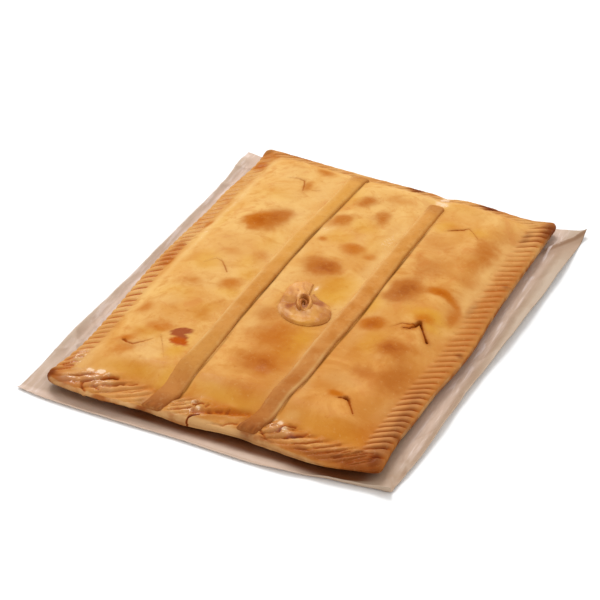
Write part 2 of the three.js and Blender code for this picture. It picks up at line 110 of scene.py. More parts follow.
# inset and bite
BITE = {
    "front": [(0, 0.3), (4, 0.8), (11, 1), (18, 1), (23, 0.1), (25, 0), (400, 0)],
    "right": [(0, 0.25), (1.5, 0.5), (3.8, 1.0), (9, 1), (16, 0.8), (20, 0), (400, 0)],
    "back": [(0, 0.3), (4, 0.8), (9, 1), (13, 0.7), (17, 0), (400, 0)],
    "left": [(0, 0.6), (2.5, 1), (8, 1), (11.5, 0.8), (14, 0), (400, 0)],
}
# place along the side and strength
STRENGTH = {
    "front": [(-150, 0.6), (150, 0.55)],
    "right": [(-190, 1.3), (-105, 1.15), (-60, 0.65), (130, 0.6), (150, 1.0), (190, 1.0)],
    "back": [(-150, 0.9), (150, 0.9)],
    "left": [(-190, 0.75), (-20, 0.7), (30, 0.55), (60, 0.35), (190, 0.3)],
}
# below 1, a groove is a sharp valley between round pillows
VALLEY = {"front": 0.8, "right": 0.55, "back": 0.9, "left": 0.75}
RISE = {"front": (0.5, 0.14), "right": (0.42, 0.3), "back": (0.2, 0.5), "left": (0.4, 0.35)}
CRIMP_DEPTH = 2.5
CRIMP_ABOVE = 0.45
# each front fold ends inwards in a fat tip, and each right one gets a dark line of painted shade near the
# edge
TIP_AT = 19
TIP_HIGH = 0.9
NICK_AT = 5.5
# over how much of a corner two sides' crimps blend
MITRE = 3.5
CORNER_FADE = 16
CORNER_LEAST = 0.35
STRIP_CLEAR = (9, 14)
PLAIN_ROLL = (-14, 25)
ROLL_FADE = 4
# inset, and how much higher than the rim's level
RIM_LIFTS = [(0, -1.6), (4, -0.2), (11, 0.4), (18.5, 0.9), (23, 0.9), (200, 0.9)]

# dough strips, as tables that start with y, front end first: centre line, width, how light the top is,
# how open the gap on the right is, sunk and painted as shadow, and how strong the painted highlight
# along the right edge is
STRIPS = {
    "strip_left": {
        "line": [(-198, -49), (-185, -45), (-165, -41.5), (-130, -40.6), (-100, -40.6), (-60, -41.7),
                 (0, -41.9), (60, -41.8), (90, -40), (130, -38.3), (176, -37.3)],
        "wide": [(-198, 17), (-170, 18), (-130, 17.8), (-80, 15.2), (0, 14.2), (80, 13.6), (140, 13.8),
                 (170, 16)],
        "light": [(-200, 0), (-170, 0), (-145, 0.5), (-125, 0.6), (-85, 0.3), (-50, 0.22), (0, 0.32),
                  (40, 0.6), (200, 0.6)],
        "gap": [(-200, 1), (70, 1), (110, 0.75), (200, 0.75)],
        "edge": [(-200, 0.15), (200, 0.15)],
        "front": -195.5, "back": 174, "seed": 3, "browned": 0.55,
    },
    "strip_right": {
        "line": [(-196, 29.5), (-186, 31.5), (-170, 36.3), (-150, 38.8), (-120, 41.6), (-80, 41.4),
                 (-40, 42.8), (0, 43.6), (40, 43), (100, 43), (156, 44)],
        "wide": [(-196, 19), (-184, 17), (-165, 15), (-120, 16.4), (0, 16), (60, 14.5), (156, 14.5)],
        "light": [(-200, 0), (-20, 0), (60, 0.25), (200, 0.25)],
        "gap": [(-200, 1), (90, 1), (125, 0.5), (200, 0.5)],
        "edge": [(-200, 0.7), (-100, 0.55), (-50, 0.2), (200, 0.2)],
        "front": -190, "back": 153, "seed": 8, "browned": 0.75,
    },
}
STRIP_THICK = 3.2
STRIP_BED = 1.2
STRIP_REACH = 11
STRIP_SINK = 0.7
STRIP_DROP = 0.4
STRIP_TUCK = 2.2
STRIP_AROUND = 28
STRIP_STEP = 1.25
# how deep the crust sinks beside a strip
GAP_DEEP = 1.1

# camera: its turn and tilt in degrees, how far it stands from what it looks at, where that is from the
# middle of the pie, its lens and sensor, all in millimetres, and how far it sees, in metres
CAMERA_TURN = -25.66
CAMERA_TILT = 34.46
CAMERA_FAR = 1661.6
CAMERA_TARGET = (-16.03, 1.68, 0.0)
CAMERA_LENS = 120.0
CAMERA_SENSOR = 36.0
CAMERA_SEES = 20

# a white room with one softbox, in metres, and a floor just under the paper
SOFTBOX_AT = (-1.9, 2.3, 4.5)
SOFTBOX_SIZE = 2.2
SOFTBOX_POWER = 130
ROOM_LIGHT = 0.88
FLOOR_HALF = 4
FLOOR_Z = -0.0003

# rosette: its middle, and its outline as bearing in degrees and reach
ROSETTE_AT = (5.0, -34.0)
ROSETTE_OUTLINE = [(-180, 20.5), (-169, 21), (-132, 22.9), (-107, 25), (-86, 27.3), (-56, 29.9), (-30, 30),
                   (-11, 26.5), (17, 20), (49, 14.2), (80, 15.5), (94, 20), (101, 30), (118, 30.5),
                   (138, 28.3), (151, 25.5), (165, 21.8), (180, 20.5)]

# cuts through the crust, along their lines: x, y, width, how dark, painted as shade in the gash and browning
# round it. The steam vents are three of them that stayed open and four that closed again, and one slit
CUTS = [
    [(89.3, -27.9, 1.0, 0.75), (94, -26.8, 1.6, 0.7), (97, -22, 3.0, 0.75), (98.4, -15.6, 3.2, 1.0),
     (101.5, -20, 2.0, 0.9), (104.9, -24.8, 1.4, 0.8), (109, -30, 1.6, 0.8), (112.1, -33.9, 2.2, 0.95)],
    [(80.6, -30.4, 0.8, 0.2), (85.9, -22.6, 1.0, 0.45), (92, -21.5, 1.6, 0.5), (96.5, -20, 2.2, 0.6)],
    [(66.9, 120.3, 1.2, 0.35), (72, 124, 1.6, 0.5), (78.4, 127.6, 1.6, 0.5), (81.9, 131.8, 1.4, 0.35),
     (86.8, 127.8, 1.2, 0.25), (94.8, 119.2, 1.2, 0.3)],
    [(81.1, -133.4, 1.4, 0.5), (84, -132, 2.0, 0.55), (86.8, -131.6, 3.4, 0.9), (89.2, -132.8, 2.2, 0.7),
     (94, -139.5, 1.6, 0.5), (98.7, -145.9, 1.4, 0.55)],
    [(-103.9, -136.1, 3.2, 0.55), (-100, -138.4, 2.6, 0.42), (-94.4, -139.1, 2.6, 0.42),
     (-88.5, -133.5, 2.2, 0.36), (-83.1, -127.2, 1.8, 0.22)],
    [(-78.4, -121.8, 2.0, 0.2), (-74, -128, 2.0, 0.18), (-64.7, -142.7, 2.0, 0.14)],
    [(-93, 141.2, 1.6, 0.18), (-85.6, 143.2, 1.8, 0.24), (-79, 142, 2.0, 0.34), (-76.2, 136, 1.8, 0.36),
     (-73.2, 126.3, 1.8, 0.28)],
    [(-65.9, 129.8, 1.0, 0.25), (-59.6, 132.8, 1.0, 0.25)],
    [(-96.4, -10.3, 1.2, 0.15), (-90.9, -2.8, 1.4, 0.2), (-84.2, -5.5, 1.8, 0.3), (-78.5, -12, 1.8, 0.34),
     (-73.5, -18.3, 1.7, 0.34)],
]
CUT_DEEP = 1.5
CUT_LIP = 0.45

# creases between the folds of the front rim: x, y, width, how dark their painted shade is
FOLD_LINES = [
    [(-122, -188, 2, 0.5), (-116, -184, 2.2, 0.6), (-112, -183, 2, 0.5), (-106, -181, 2, 0.6)],
    [(-96, -182, 3, 0.9), (-93, -178.5, 3, 1.0), (-87, -176, 2.2, 0.8)],
    [(-92, -190, 1.6, 0.5), (-84, -184, 2.4, 0.8), (-80, -181, 2.4, 0.8)],
    [(-78, -181, 2, 0.6), (-73, -178, 2.2, 0.7), (-70, -176, 1.8, 0.6)],
    [(-76, -189, 1.2, 0.35), (-69, -185.5, 1.6, 0.45), (-64, -181, 2, 0.6), (-62, -179, 1.6, 0.5)],
    [(-104, -187, 1.6, 0.5), (-110, -190, 2.4, 0.7), (-109, -194, 2.4, 0.8), (-104, -198, 2.4, 0.7)],
    [(-100, -191, 1.6, 0.5), (-94, -193.5, 1.8, 0.6)],
    [(-134, -178.5, 2, 0.6), (-128, -175, 2, 0.6)],
    [(-136, -172, 1.6, 0.4), (-131, -168, 1.6, 0.4)],
    [(-33, -190, 1.4, 0.4), (-26, -187, 1.6, 0.45), (-19, -183, 1.8, 0.45)],
    [(-34, -184, 1.4, 0.4), (-27, -180, 1.6, 0.4)],
    [(-18.5, -180, 2.2, 0.8), (-16.5, -177, 2.4, 0.9), (-12, -176, 2, 0.7)],
    [(-9, -178, 1.6, 0.6), (-8, -175, 1.4, 0.5)],
    [(-5, -181, 2, 0.7), (-1.5, -183, 2, 0.6)],
    [(0, -178, 1.8, 0.6), (4, -176.5, 1.6, 0.5)],
    [(8, -177, 1.6, 0.6), (9, -173, 1.4, 0.5)],
    [(-1, -193, 1.2, 0.3), (5, -191.5, 1.4, 0.4), (12, -190.5, 1.6, 0.5), (15, -187, 1.8, 0.6),
     (21, -185, 1.8, 0.6)],
    [(40, -184, 1.8, 0.6), (43, -186.5, 2, 0.7), (47, -190, 1.8, 0.6), (53, -192, 1.4, 0.4)],
    [(54, -181, 2.4, 0.7), (55, -176, 2.6, 0.9), (59, -173, 2.6, 1.0), (63.5, -172, 2, 0.8)],
    [(61, -185, 2, 0.6), (67, -181, 3.4, 0.9), (72, -177.5, 3, 0.9), (75, -175, 2, 0.6)],
    [(70, -187.5, 1.4, 0.5), (78, -184, 1.6, 0.6), (82, -181, 1.6, 0.6), (86, -177.5, 1.4, 0.4)],
    [(85, -186, 1.4, 0.5), (92, -183, 1.6, 0.6), (97, -180, 1.6, 0.5), (102, -176, 1.4, 0.4)],
    [(90, -190, 1.4, 0.5), (98, -185.5, 1.8, 0.6), (105, -182, 1.8, 0.6), (108, -179, 1.4, 0.4)],
    [(103, -186, 1.6, 0.6), (109, -182, 1.8, 0.7), (113, -179, 1.6, 0.6)],
    [(104, -190, 1.8, 0.6), (113, -184, 1.8, 0.7), (121, -178, 1.8, 0.7), (128, -174, 1.6, 0.6)],
    [(75, -191, 1.4, 0.5), (83, -190, 1.4, 0.4)],
    [(114, -191, 2, 0.6), (122, -185, 1.8, 0.6), (130, -179, 1.6, 0.5)],
]
FOLDED_FRONT = -155
FOLD_DEEP = 2.0
FOLD_PILLOW = 0.8
# dark specks: x, y, radius, how dark
SPECKS = [(29, -28, 1.0, 0.6), (-50, 142, 0.8, 0.35)]
# the seam where a fold of the front rim ends
CRACK = [(-9.5, -188.3), (-13.7, -190.7), (-16.2, -193), (-17, -196.5)]
CRACK_WIDE = 1.3
CRACK_DEEP = 1.5

# raised and sunk places: x, y, half width, half depth, height
BLISTERS = [
    (-82, 75, 22, 17, 1.2), (-16, 133, 13, 11, 1.0), (7, 118, 14, 12, 0.9), (-22, 98, 13, 12, 0.9),
    (5, 58, 16, 11, 0.8), (-8, 25, 19, 13, 1.3), (10, -115, 20, 16, 1.2), (-12, -68, 22, 10, 0.8),
    (66, 22, 15, 19, 1.1), (64, -32, 11, 10, 0.9), (90, -58, 16, 14, 1.1), (108, -84, 16, 12, 0.9),
    (-62, -60, 14, 16, 0.8), (-88, -112, 15, 10, 0.7), (108, 104, 20, 16, 0.8), (-98, -168, 12, 7, 1.6),
    (-14, -172, 10, 7, 1.2), (58, -172, 12, 7, 1.5),
]

# oven-browned places: x, y, half width, half depth, turn in degrees, how brown, how red
BROWNED = [
    # left panel
    (-87, 67, 10, 14, -15, 1.0, 0.0), (-74, 78, 12, 16, 0, 0.8, 0.7), (-78, 64, 14, 12, 0, 0.5, 0.6),
    (-84, 52, 5, 5, 0, 0.6, 0.2), (-68, 164, 11, 7, 0, 0.6, 0.3), (-95, 163, 8, 4, 0, 0.3, 0.2),
    (-62, -31, 9, 9, 0, 0.6, 0.1), (-58, 10, 8, 12, 0, 0.25, 0.3), (-88, -43, 30, 8, 10, 0.22, 0.5),
    (-62, -80, 10, 11, 0, 0.45, 0.2), (-85, -110, 10, 9, 0, 0.5, 0.0), (-97, -124, 10, 7, 0, 0.35, 0.1),
    (-99, -147, 10, 7, 0, 0.5, 0.1), (-85, 13, 11, 7, 0, 0.35, 0.0), (-61, 18, 8, 9, 0, 0.35, 0.0),
    (-112, -6, 8, 10, 0, 0.3, 0.0), (-100, 95, 14, 5, 0, 0.15, 0.0), (-70, -60, 14, 10, 0, 0.15, 0.5),
    (-112, -88, 8, 9, 0, 0.5, 0.1), (-95, -40, 9, 6, 0, 0.3, 0.1), (-84, -160, 14, 6, 0, 0.3, 0.1),
    (-70, 128, 8, 12, 0, 0.15, 0.1), (-80, 112, 16, 6, 0, 0.2, 0.2),
    # middle panel
    (-14, 133, 9, 11, 0, 0.75, 0.6), (8, 116, 9, 12, 0, 0.6, 0.6), (-21, 97, 10, 12, 0, 0.6, 0.5),
    (-23, 61, 5, 5, 0, 0.6, 0.2), (7, 59, 10, 9, 0, 0.6, 0.1), (25, 53, 6, 6, 0, 0.5, 0.0),
    (-8, 23, 16, 13, 0, 0.75, 0.8), (-1, 21, 10, 9, 0, 0.95, 0.6), (-15, -58, 12, 11, 0, 0.5, 0.7),
    (-3, -85, 20, 18, 0, 0.6, 0.4), (10, -120, 13, 10, 0, 0.8, 0.4), (5, -156, 12, 10, 0, 0.25, 0.3),
    (122, -125, 10, 40, 0, 0.3, 0.4), (2, -118, 19, 13, 0, 0.5, 0.8), (14, -130, 7, 34, 0, 0.3, 0.2),
    (26, -100, 7, 18, 0, 0.35, 0.1), (10, -70, 12, 9, 0, 0.35, 0.3), (-8, -150, 24, 9, 0, 0.25, 0.6),
    (-20, -170, 14, 6, 0, 0.3, 0.0), (8, -175, 20, 6, 0, 0.6, 0.0), (14, 148, 14, 6, 0, 0.3, 0.2),
    (0, 80, 8, 6, 0, 0.2, 0.0), (24, 100, 6, 14, 0, 0.25, 0.0),
    # right panel
    (69, 23, 14, 18, -5, 0.95, 0.9), (64, 9, 8, 9, 0, 0.7, 0.9), (97, 31, 13, 7, 0, 0.95, 0.1),
    (111, 25, 9, 5, -30, 0.6, 0.2), (119, 8, 4, 12, 0, 0.5, 0.4), (66, -33, 11, 9, 0, 0.9, 0.4),
    (58, -38, 6, 8, 0, 0.4, 0.1), (93, -58, 14, 12, 0, 1.0, 0.7), (108, -86, 13, 19, 0, 0.7, 0.8),
    (100, -104, 16, 10, 0, 0.3, 0.6), (84, -95, 13, 8, 0, 0.5, 0.9), (70, -75, 10, 8, 0, 0.3, 0.4),
    (106, 106, 12, 20, 0, 0.55, 0.6), (74, 65, 18, 14, 0, 0.4, 0.8), (95, 80, 14, 10, 0, 0.3, 0.4),
    (118, 140, 9, 12, 0, 0.35, 0.5), (75, 50, 14, 12, 0, 0.35, 0.6), (116, 12, 7, 12, 0, 0.5, 0.4),
    (110, -50, 8, 5, 0, 0.25, 0.2), (62, 100, 10, 20, 0, 0.25, 0.3), (100, 60, 14, 8, 0, 0.3, 0.6),
    (48, -140, 4, 10, 0, 0.35, 0.1), (112, 75, 6, 45, 0, 0.25, 0.3), (80, 92, 14, 10, 0, 0.3, 0.5),
    (70, 127, 8, 6, 0, 0.25, 0.0), (-72, 135, 4, 9, 0, 0.5, 0.3), (-102, -133, 7, 5, 0, 0.6, 0.0),
    (100, -8, 11, 8, 0, 0.6, 0.0), (77, -129, 7, 4, 0, 0.9, 0.1), (94, -24, 8, 5, 0, 0.5, 0.1),
    (70, -150, 18, 10, 0, 0.12, 0.1), (118, -155, 10, 16, 0, 0.35, 0.3), (104, -150, 14, 12, 0, 0.2, 0.3),
    # rims
    (120, -189, 24, 8, 0, 1.2, 0.8), (129, -180, 12, 14, 0, 1.2, 1.0), (84, -192, 32, 4, 0, 0.9, 0.6),
    (133, -160, 6, 18, 0, 0.9, 0.9), (133, -120, 5, 30, 0, 0.6, 0.9), (118, -192, 20, 4, 0, 1.0, 0.6),
    (62, -168, 5, 5, 0, 0.25, 0.9), (139, 20, 4, 130, 0, 0.45, 0.9), (10, 183, 8, 4, 0, 0.8, 0.7),
    (82, 183, 10, 4, 0, 0.9, 0.7), (-105, 191, 26, 4, 0, 0.6, 0.6), (-20, 186, 30, 3, 0, 0.4, 0.5),
    (105, 183, 26, 4, 0, 0.5, 0.5), (27, 183, 5, 4, 0, 0.6, 0.3), (-137, -190, 8, 8, 0, 1.0, 0.5),
    (-122, -195, 14, 5, 0, 0.7, 0.4), (-131, -178, 5, 3, 0, 0.6, 0.1), (-105, -190, 8, 6, 0, 0.3, 0.6),
    (140, 168, 8, 20, 0, 0.95, 0.6), (132, 40, 6, 60, 0, 0.4, 0.3), (131, -60, 7, 60, 0, 0.35, 0.3),
    (-133, 162, 6, 9, 0, 0.9, 0.0), (-131, 182, 10, 10, 0, 0.6, 0.3), (-128, 52, 4, 8, 0, 0.6, 0.0),
    (-133, -12, 6, 10, 0, 0.5, 0.2), (-134, 12, 5, 8, 0, 0.6, 0.4), (-135, -8, 6, 16, 0, 0.6, 0.1),
    (-5, 0, 26, 18, 0, 0.3, 0.1), (18, 2, 10, 14, 0, 0.2, 0.0), (5, 140, 10, 10, 0, 0.25, 0.2),
    (10, 105, 6, 8, 0, 0.3, 0.3), (-75, -172, 16, 8, 0, 0.3, 0.2), (-108, -184, 24, 9, 0, 0.35, 1.0),
    (-134, -165, 6, 14, 0, 0.35, 1.0), (128, -100, 6, 20, 0, 0.35, 0.6), (-28, 90, 7, 12, 0, 0.3, 0.3),
    (14, -95, 8, 14, 0, 0.3, 0.2), (95, -165, 34, 10, 0, 0.4, 0.1), (-95, -95, 26, 26, 0, 0.22, 0.2),
    (135, 80, 8, 40, 0, 0.35, 0.4),
]

# yolk-yellow places: x, y, half width, half depth, strength
YOLKY = [
    (20, -5, 15, 22, 1.0), (-56, -14, 10, 10, 0.5), (-60, 40, 12, 16, 0.35), (22, 78, 12, 20, 0.3),
    (-60, -128, 8, 16, 0.8), (100, -3, 18, 9, 0.9), (108, -15, 10, 8, 0.6), (20, -85, 12, 24, 0.7),
    (-100, -8, 16, 14, 0.6), (54, -8, 8, 14, 0.6), (-28, 140, 10, 14, 0.4), (0, 95, 14, 10, 0.5),
    (-66, 2, 9, 12, 0.5), (-58, -42, 9, 10, 0.5), (-62, -78, 9, 12, 0.5), (-92, -120, 12, 8, 0.5),
    (-10, 70, 14, 10, 0.4), (-100, -60, 14, 10, 0.4), (75, -60, 10, 18, 0.4), (92, 128, 10, 8, 0.5),
    (62, 125, 8, 8, 0.6), (0, -165, 26, 10, 0.6), (90, -165, 30, 9, 0.6), (-80, -165, 22, 8, 0.7),
    (-52, -165, 6, 14, 0.8), (-118, 60, 6, 24, 0.3), (-90, 110, 20, 8, 0.3), (60, 160, 30, 10, 0.3),
]

# light places with flour left on them, and small bright ones along the front rim that are painted highlights
# on wet glaze: x, y, half width, half depth, strength
PALE_AND_HIGHLIGHTS = [
    (-82, -144, 18, 11, 0.6), (-28, 76, 7, 9, 0.8), (-66, 108, 24, 16, 0.4), (-30, -20, 10, 26, 0.5),
    (34, 60, 7, 60, 0.6), (58, -164, 7, 6, 0.7), (-18, -172, 6, 6, 0.8), (-121, -166, 8, 20, 0.7),
    (30, -30, 6, 14, 0.5), (-60, 88, 10, 30, 0.5), (118, 60, 8, 60, 0.5), (118, 130, 9, 24, 0.4),
    (74, -112, 20, 10, 0.3), (60, 100, 14, 20, 0.2), (119, -130, 8, 30, 0.35), (41, 178, 6, 11, 1.3),
    (44, 162, 9, 9, 1.25), (-92, 5, 36, 40, 0.4), (-90, -30, 30, 14, 0.3), (-97, -72, 10, 8, 0.6),
    (-11, -159, 12, 6, 0.3), (50, -135, 8, 24, 0.35), (-25, -178, 6, 5, 0.7), (-122, 60, 4, 110, 0.8),
    (75, 158, 40, 8, 0.35), (-122, -145, 6, 20, 0.3), (33, -145, 5, 16, 0.35), (-33, 38, 7, 14, 0.5),
    (-92, 150, 20, 12, 0.4), (6, 72, 12, 12, 0.5), (4, -9, 3, 6, 1.2), (27, 84, 9, 24, 0.8),
    (-55, 35, 7, 26, 0.5), (-55, 130, 10, 25, 0.5), (-24, -65, 8, 26, 0.4), (60, -20, 6, 50, 0.35),
    (33, 160, 8, 14, 0.6), (-120, 70, 5, 40, 0.4), (-50, 150, 4, 20, 0.4), (-112, -175, 4.5, 3, 1.4),
    (-102, -174.5, 5, 3.5, 1.5), (-95, -176, 3, 2.5, 1.1), (-104, -184, 3, 2, 0.9), (-128, -168, 3, 4, 0.9),
    (-14.5, -181.5, 3, 2.5, 1.2), (-21, -177, 4, 4, 1.0), (-30, -176, 3, 4, 0.7), (-32, -190, 3, 2, 0.7),
    (52, -172, 3, 3.5, 1.3), (57, -178.5, 3, 2.5, 1.2), (46, -170, 3, 4, 0.9), (70, -183.5, 3, 2, 0.7),
    (-120, -179, 4, 2, 0.7), (-85, -190, 3, 2, 0.6), (-90, -184, 3, 2, 0.7), (119, -187, 4, 1.5, 0.8),
    (-128, -192, 3, 2, 0.5), (17, -190, 4, 3, 0.9), (3, -194, 12, 3, 0.9), (19, -193, 8, 3, 1.0),
]

# nearly burnt places, and painted shade under the left front corner and where the strips meet the front rim:
# x, y, half width, half depth, strength
SCORCHED_AND_SHADED = [
    (-142, -189, 7, 8, 1.0), (-130, -193, 9, 4, 0.4), (118, -190, 22, 5, 0.45), (133, -180, 6, 10, 0.8),
    (122, -184, 16, 8, 0.35), (96, -192, 24, 4, 0.35), (133, -165, 5, 14, 0.4), (129, -168, 4, 6, 0.4),
    (141, 174, 6, 16, 0.7), (11, 184, 8, 3.5, 0.8), (82, 184, 10, 3.5, 0.95), (-138, 190, 4, 8, 0.5),
    (-110, 193, 14, 2.5, 0.4), (124, 185, 6, 3, 0.4), (135, -147, 4, 5, 0.55), (135, -130, 3, 10, 0.3),
    (36, -190, 3, 2.5, 0.5), (31, -192, 8, 2.5, 0.45), (-52, -197, 8, 2.5, 0.4), (-37, -173, 3, 8, 0.5),
    (42, -172, 2.5, 8, 0.4), (138, 75, 3, 3, 0.4), (140, -32, 3, 3, 0.5), (110, -191, 20, 4, 0.2),
    (52, -186, 8, 4, 0.4), (-56, -192, 6, 5, 0.4), (125, 30, 3, 12, 0.25), (127, 150, 4, 10, 0.35),
    (131, -130, 4, 40, 0.3),
]

# wrinkled, glossy places where egg wash ran together: x, y, half width, half depth
GLAZED = [(-107, -174, 9, 6), (-97, -179, 10, 5), (-90, -182, 5, 3), (-132, -160, 4, 9), (-13, -182, 8, 4),
          (51, -176, 6, 4), (59, -176, 7, 4), (65, -177, 5, 3), (-120, -184, 9, 5)]


def through(points):
    """A smooth line through a few points."""
    xs, ys = np.array(points, float).T
    slopes = np.empty_like(ys)
    slopes[1:-1] = (ys[2:] - ys[:-2]) / (xs[2:] - xs[:-2])
    slopes[0] = (ys[1] - ys[0]) / (xs[1] - xs[0])
    slopes[-1] = (ys[-1] - ys[-2]) / (xs[-1] - xs[-2])

    def line(t):
        i = np.clip(np.searchsorted(xs, t) - 1, 0, len(xs) - 2)
        h = xs[i + 1] - xs[i]
        s = np.clip((t - xs[i]) / h, 0, 1)
        s2, s3 = s * s, s * s * s
        return (ys[i] * (2 * s3 - 3 * s2 + 1) + slopes[i] * h * (s3 - 2 * s2 + s)
                + ys[i + 1] * (3 * s2 - 2 * s3) + slopes[i + 1] * h * (s3 - s2))
    return line


def ease(value, start, end):
    """0 before start, 1 past end and smooth between."""
    s = np.clip((value - start) / (end - start), 0, 1)
    return s * s * (3 - 2 * s)


def swell(value, at, reach):
    """1 where the value is at, fading smoothly on both sides."""
    return np.exp(-((value - at) / reach) ** 2)


def on_floor(x, y):
    return np.column_stack([x, y, np.zeros_like(x)])


def squared(value, power):
    """A sine or cosine drawn out, so that a round section becomes flatter."""
    return np.sign(value) * np.abs(value) ** power


def grain(points, size, seed):
    """Smooth noise, about -1 to 1, at each point; size is that of its lumps."""
    step = Vector((seed * 7.31, seed * 3.17, seed * 5.93))
    return np.array([noise.noise(Vector(p) / size + step) for p in points])


def patch(x, y, middle_x, middle_y, half_x, half_y, turn=0):
    """1 in the middle of an oval place, fading to 0 a little past its edge."""
    c, s = math.cos(math.radians(turn)), math.sin(math.radians(turn))
    dx, dy = x - middle_x, y - middle_y
    far = ((dx * c + dy * s) / half_x) ** 2 + ((dy * c - dx * s) / half_y) ** 2
    return np.exp(-0.9 * far ** 1.4)


def lines_of(tables):
    """A smooth line through each of a set of tables."""
    return {name: through(points) for name, points in tables.items()}


def strip_lines(part):
    return lines_of({name: plan[part] for name, plan in STRIPS.items()})


pie_side = lines_of(PIE_SIDES)
crimp_bite = lines_of(BITE)
crimp_strong = lines_of(STRENGTH)
strip_centre = strip_lines("line")
strip_wide = strip_lines("wide")
strip_light = strip_lines("light")
strip_gap = strip_lines("gap")
strip_edge = strip_lines("edge")
front_wall = through(FRONT_WALL)
rim_lift = through(RIM_LIFTS)
rosette_edge = through(ROSETTE_OUTLINE)


def insets(x, y):
    """How far a point of the plain rectangle lies in from each side."""
    return {"front": y + HALF_D, "right": HALF_W - x, "back": HALF_D - y, "left": x + HALF_W}


def rounded(x, y):
    """The plain rectangle with its corners rounded."""
    x, y = x.copy(), y.copy()
    for (way_x, way_y), radius in CORNER_ROUND.items():
        p = np.clip(way_x * x - (HALF_W - radius), 0, None) / radius
        q = np.clip(way_y * y - (HALF_D - radius), 0, None) / radius
        near = (p > 0) & (q > 0)
        pull = np.where(near, np.maximum(p, q) / np.maximum(np.hypot(p, q), 1e-6), 1)
        x = np.where(near, way_x * (HALF_W - radius + p * pull * radius), x)
        y = np.where(near, way_y * (HALF_D - radius + q * pull * radius), y)
    return x, y


def bend(x, y):
    """The plain rectangle bent to the pie's real outline."""
    x, y = rounded(x, y)
    s = (x + HALF_W) / (2 * HALF_W)
    t = (y + HALF_D) / (2 * HALF_D)
    return (pie_side["left"](y) * (1 - s) + pie_side["right"](y) * s,
            pie_side["front"](x) * (1 - t) + pie_side["back"](x) * t)


def panel_rise(x, y):
    """0 on the rim and 1 on the filled panels."""
    rise = 1
    for side, inset in insets(x, y).items():
        start, end = SLOPE[side]
        swollen = 1 - (1 - np.clip((inset - start) / (end - start), 0, 1)) ** 2.2
        rise = rise * (ease(inset, start, end) * (1 - PILLOWY[side]) + swollen * PILLOWY[side])
    return rise


def crust_z(x, y):
    """Height of the crust without its crimps."""
    crown = CROWN * (1 - (x / HALF_W) ** 2) * (1 - (y / HALF_D) ** 2)
    rise = panel_rise(x, y)
    z = RIM_Z + rise * (PANEL_Z - RIM_Z + crown)
    for centre in strip_centre.values():
        z = z - STRIP_BED * rise * swell(x, centre(y), STRIP_REACH)
    for at_x, at_y, half_x, half_y, high in BLISTERS:
        z = z + high * np.exp(-1.6 * (((x - at_x) / half_x) ** 2 + ((y - at_y) / half_y) ** 2))
    return z


def fold(phase, side):
    """Height over one crimp, 0 in the groove and 1 on the ridge."""
    f = phase - np.floor(phase)
    rising, falling = RISE[side]
    return (ease(f, 0, rising) * ease(1 - f, 0, falling)) ** VALLEY[side]


def slanted(side, inset):
    """How far along its side a groove has moved at an inset."""
    at = GROOVE_AT[side]
    reach, soft = FAN.get(side, (0, 1))
    return SLANT[side] * (inset - at) + reach * (math.exp(-at / soft) - np.exp(-inset / soft))


def crimp_strength(side, along, x, y):
    """How strong the crimps are: weaker at the corners, under the strips and on the plain roll."""
    half = HALF_W if side in ("front", "back") else HALF_D
    strength = CORNER_LEAST + (1 - CORNER_LEAST) * ease(half - np.abs(along), 0, CORNER_FADE)
    for name, centre in strip_centre.items():
        if side == "front" or (side == "back" and name == "strip_left"):
            strength = strength * ease(np.abs(x - centre(y)), *STRIP_CLEAR)
    if side == "front":
        start, end = PLAIN_ROLL
        strength = strength * (1 - ease(x, start - ROLL_FADE, start) * (1 - ease(x, end, end + ROLL_FADE)))
    return strength * crimp_strong[side](along)


def crimps(x, y, flat):
    """The height that the crimps give and take, and how far each point is in a groove or on a crest, for
    painted shade in the grooves and painted highlight on the crests.
    """
    wobble = grain(flat, 26, 1)
    uneven = 1 + 0.35 * grain(flat, 30, 2)
    inset = insets(x, y)
    height, groove, crest = np.zeros_like(x), np.zeros_like(x), np.zeros_like(x)
    for side in SIDES:
        others = np.min([inset[other] for other in SIDES if other != side], axis=0)
        share = ease(others - inset[side], -MITRE, MITRE)
        along = x if side in ("front", "back") else y
        at = along - slanted(side, inset[side]) + 1.6 * wobble
        ridge = fold(np.interp(at, GROOVES[side], np.arange(len(GROOVES[side]))), side)
        strength = crimp_strength(side, along, x, y) * uneven * share
        bite = np.clip(crimp_bite[side](inset[side]), 0, 1.1) * strength
        height += CRIMP_DEPTH * bite * (ridge - 1 + CRIMP_ABOVE)
        groove += bite * (1 - ridge) ** GROOVE_NARROW[side] * GROOVE_SHADE_STRENGTH[side]
        crest += bite * ridge ** 3
        if side == "front":
            height += TIP_HIGH * strength * ridge * swell(inset[side], TIP_AT, 3.4)
        if side == "right":
            groove += 0.7 * strength * (1 - ridge) ** 2 * swell(inset[side], NICK_AT, 2)
    return height, groove, crest


def from_line(x, y, start, end):
    """Distance from a line, which side of it a point lies on, and how far along it."""
    ax, ay = start
    dx, dy = end[0] - ax, end[1] - ay
    long = math.hypot(dx, dy)
    t = np.clip(((x - ax) * dx + (y - ay) * dy) / long ** 2, 0, 1)
    off_x, off_y = x - ax - t * dx, y - ay - t * dy
    return np.hypot(off_x, off_y), (off_y * dx - off_x * dy) / long, t


def stretches(line, x, y):
    """For each stretch of a line: distance from it, side of it, half its width and its level there."""
    for (ax, ay, a_wide, a_level), (bx, by, b_wide, b_level) in zip(line[:-1], line[1:]):
        far, side, t = from_line(x, y, (ax, ay), (bx, by))
        yield far, side, (a_wide + (b_wide - a_wide) * t) / 2, a_level + (b_level - a_level) * t


def bent_way(cut):
    """The side to which a cut bends, where its dough curls up into a lip; 0 for a straight one."""
    if len(cut) < 3:
        return 0
    (ax, ay), (mx, my), (bx, by) = cut[0][:2], cut[len(cut) // 2][:2], cut[-1][:2]
    return math.copysign(1, (bx - ax) * (my - ay) - (by - ay) * (mx - ax))


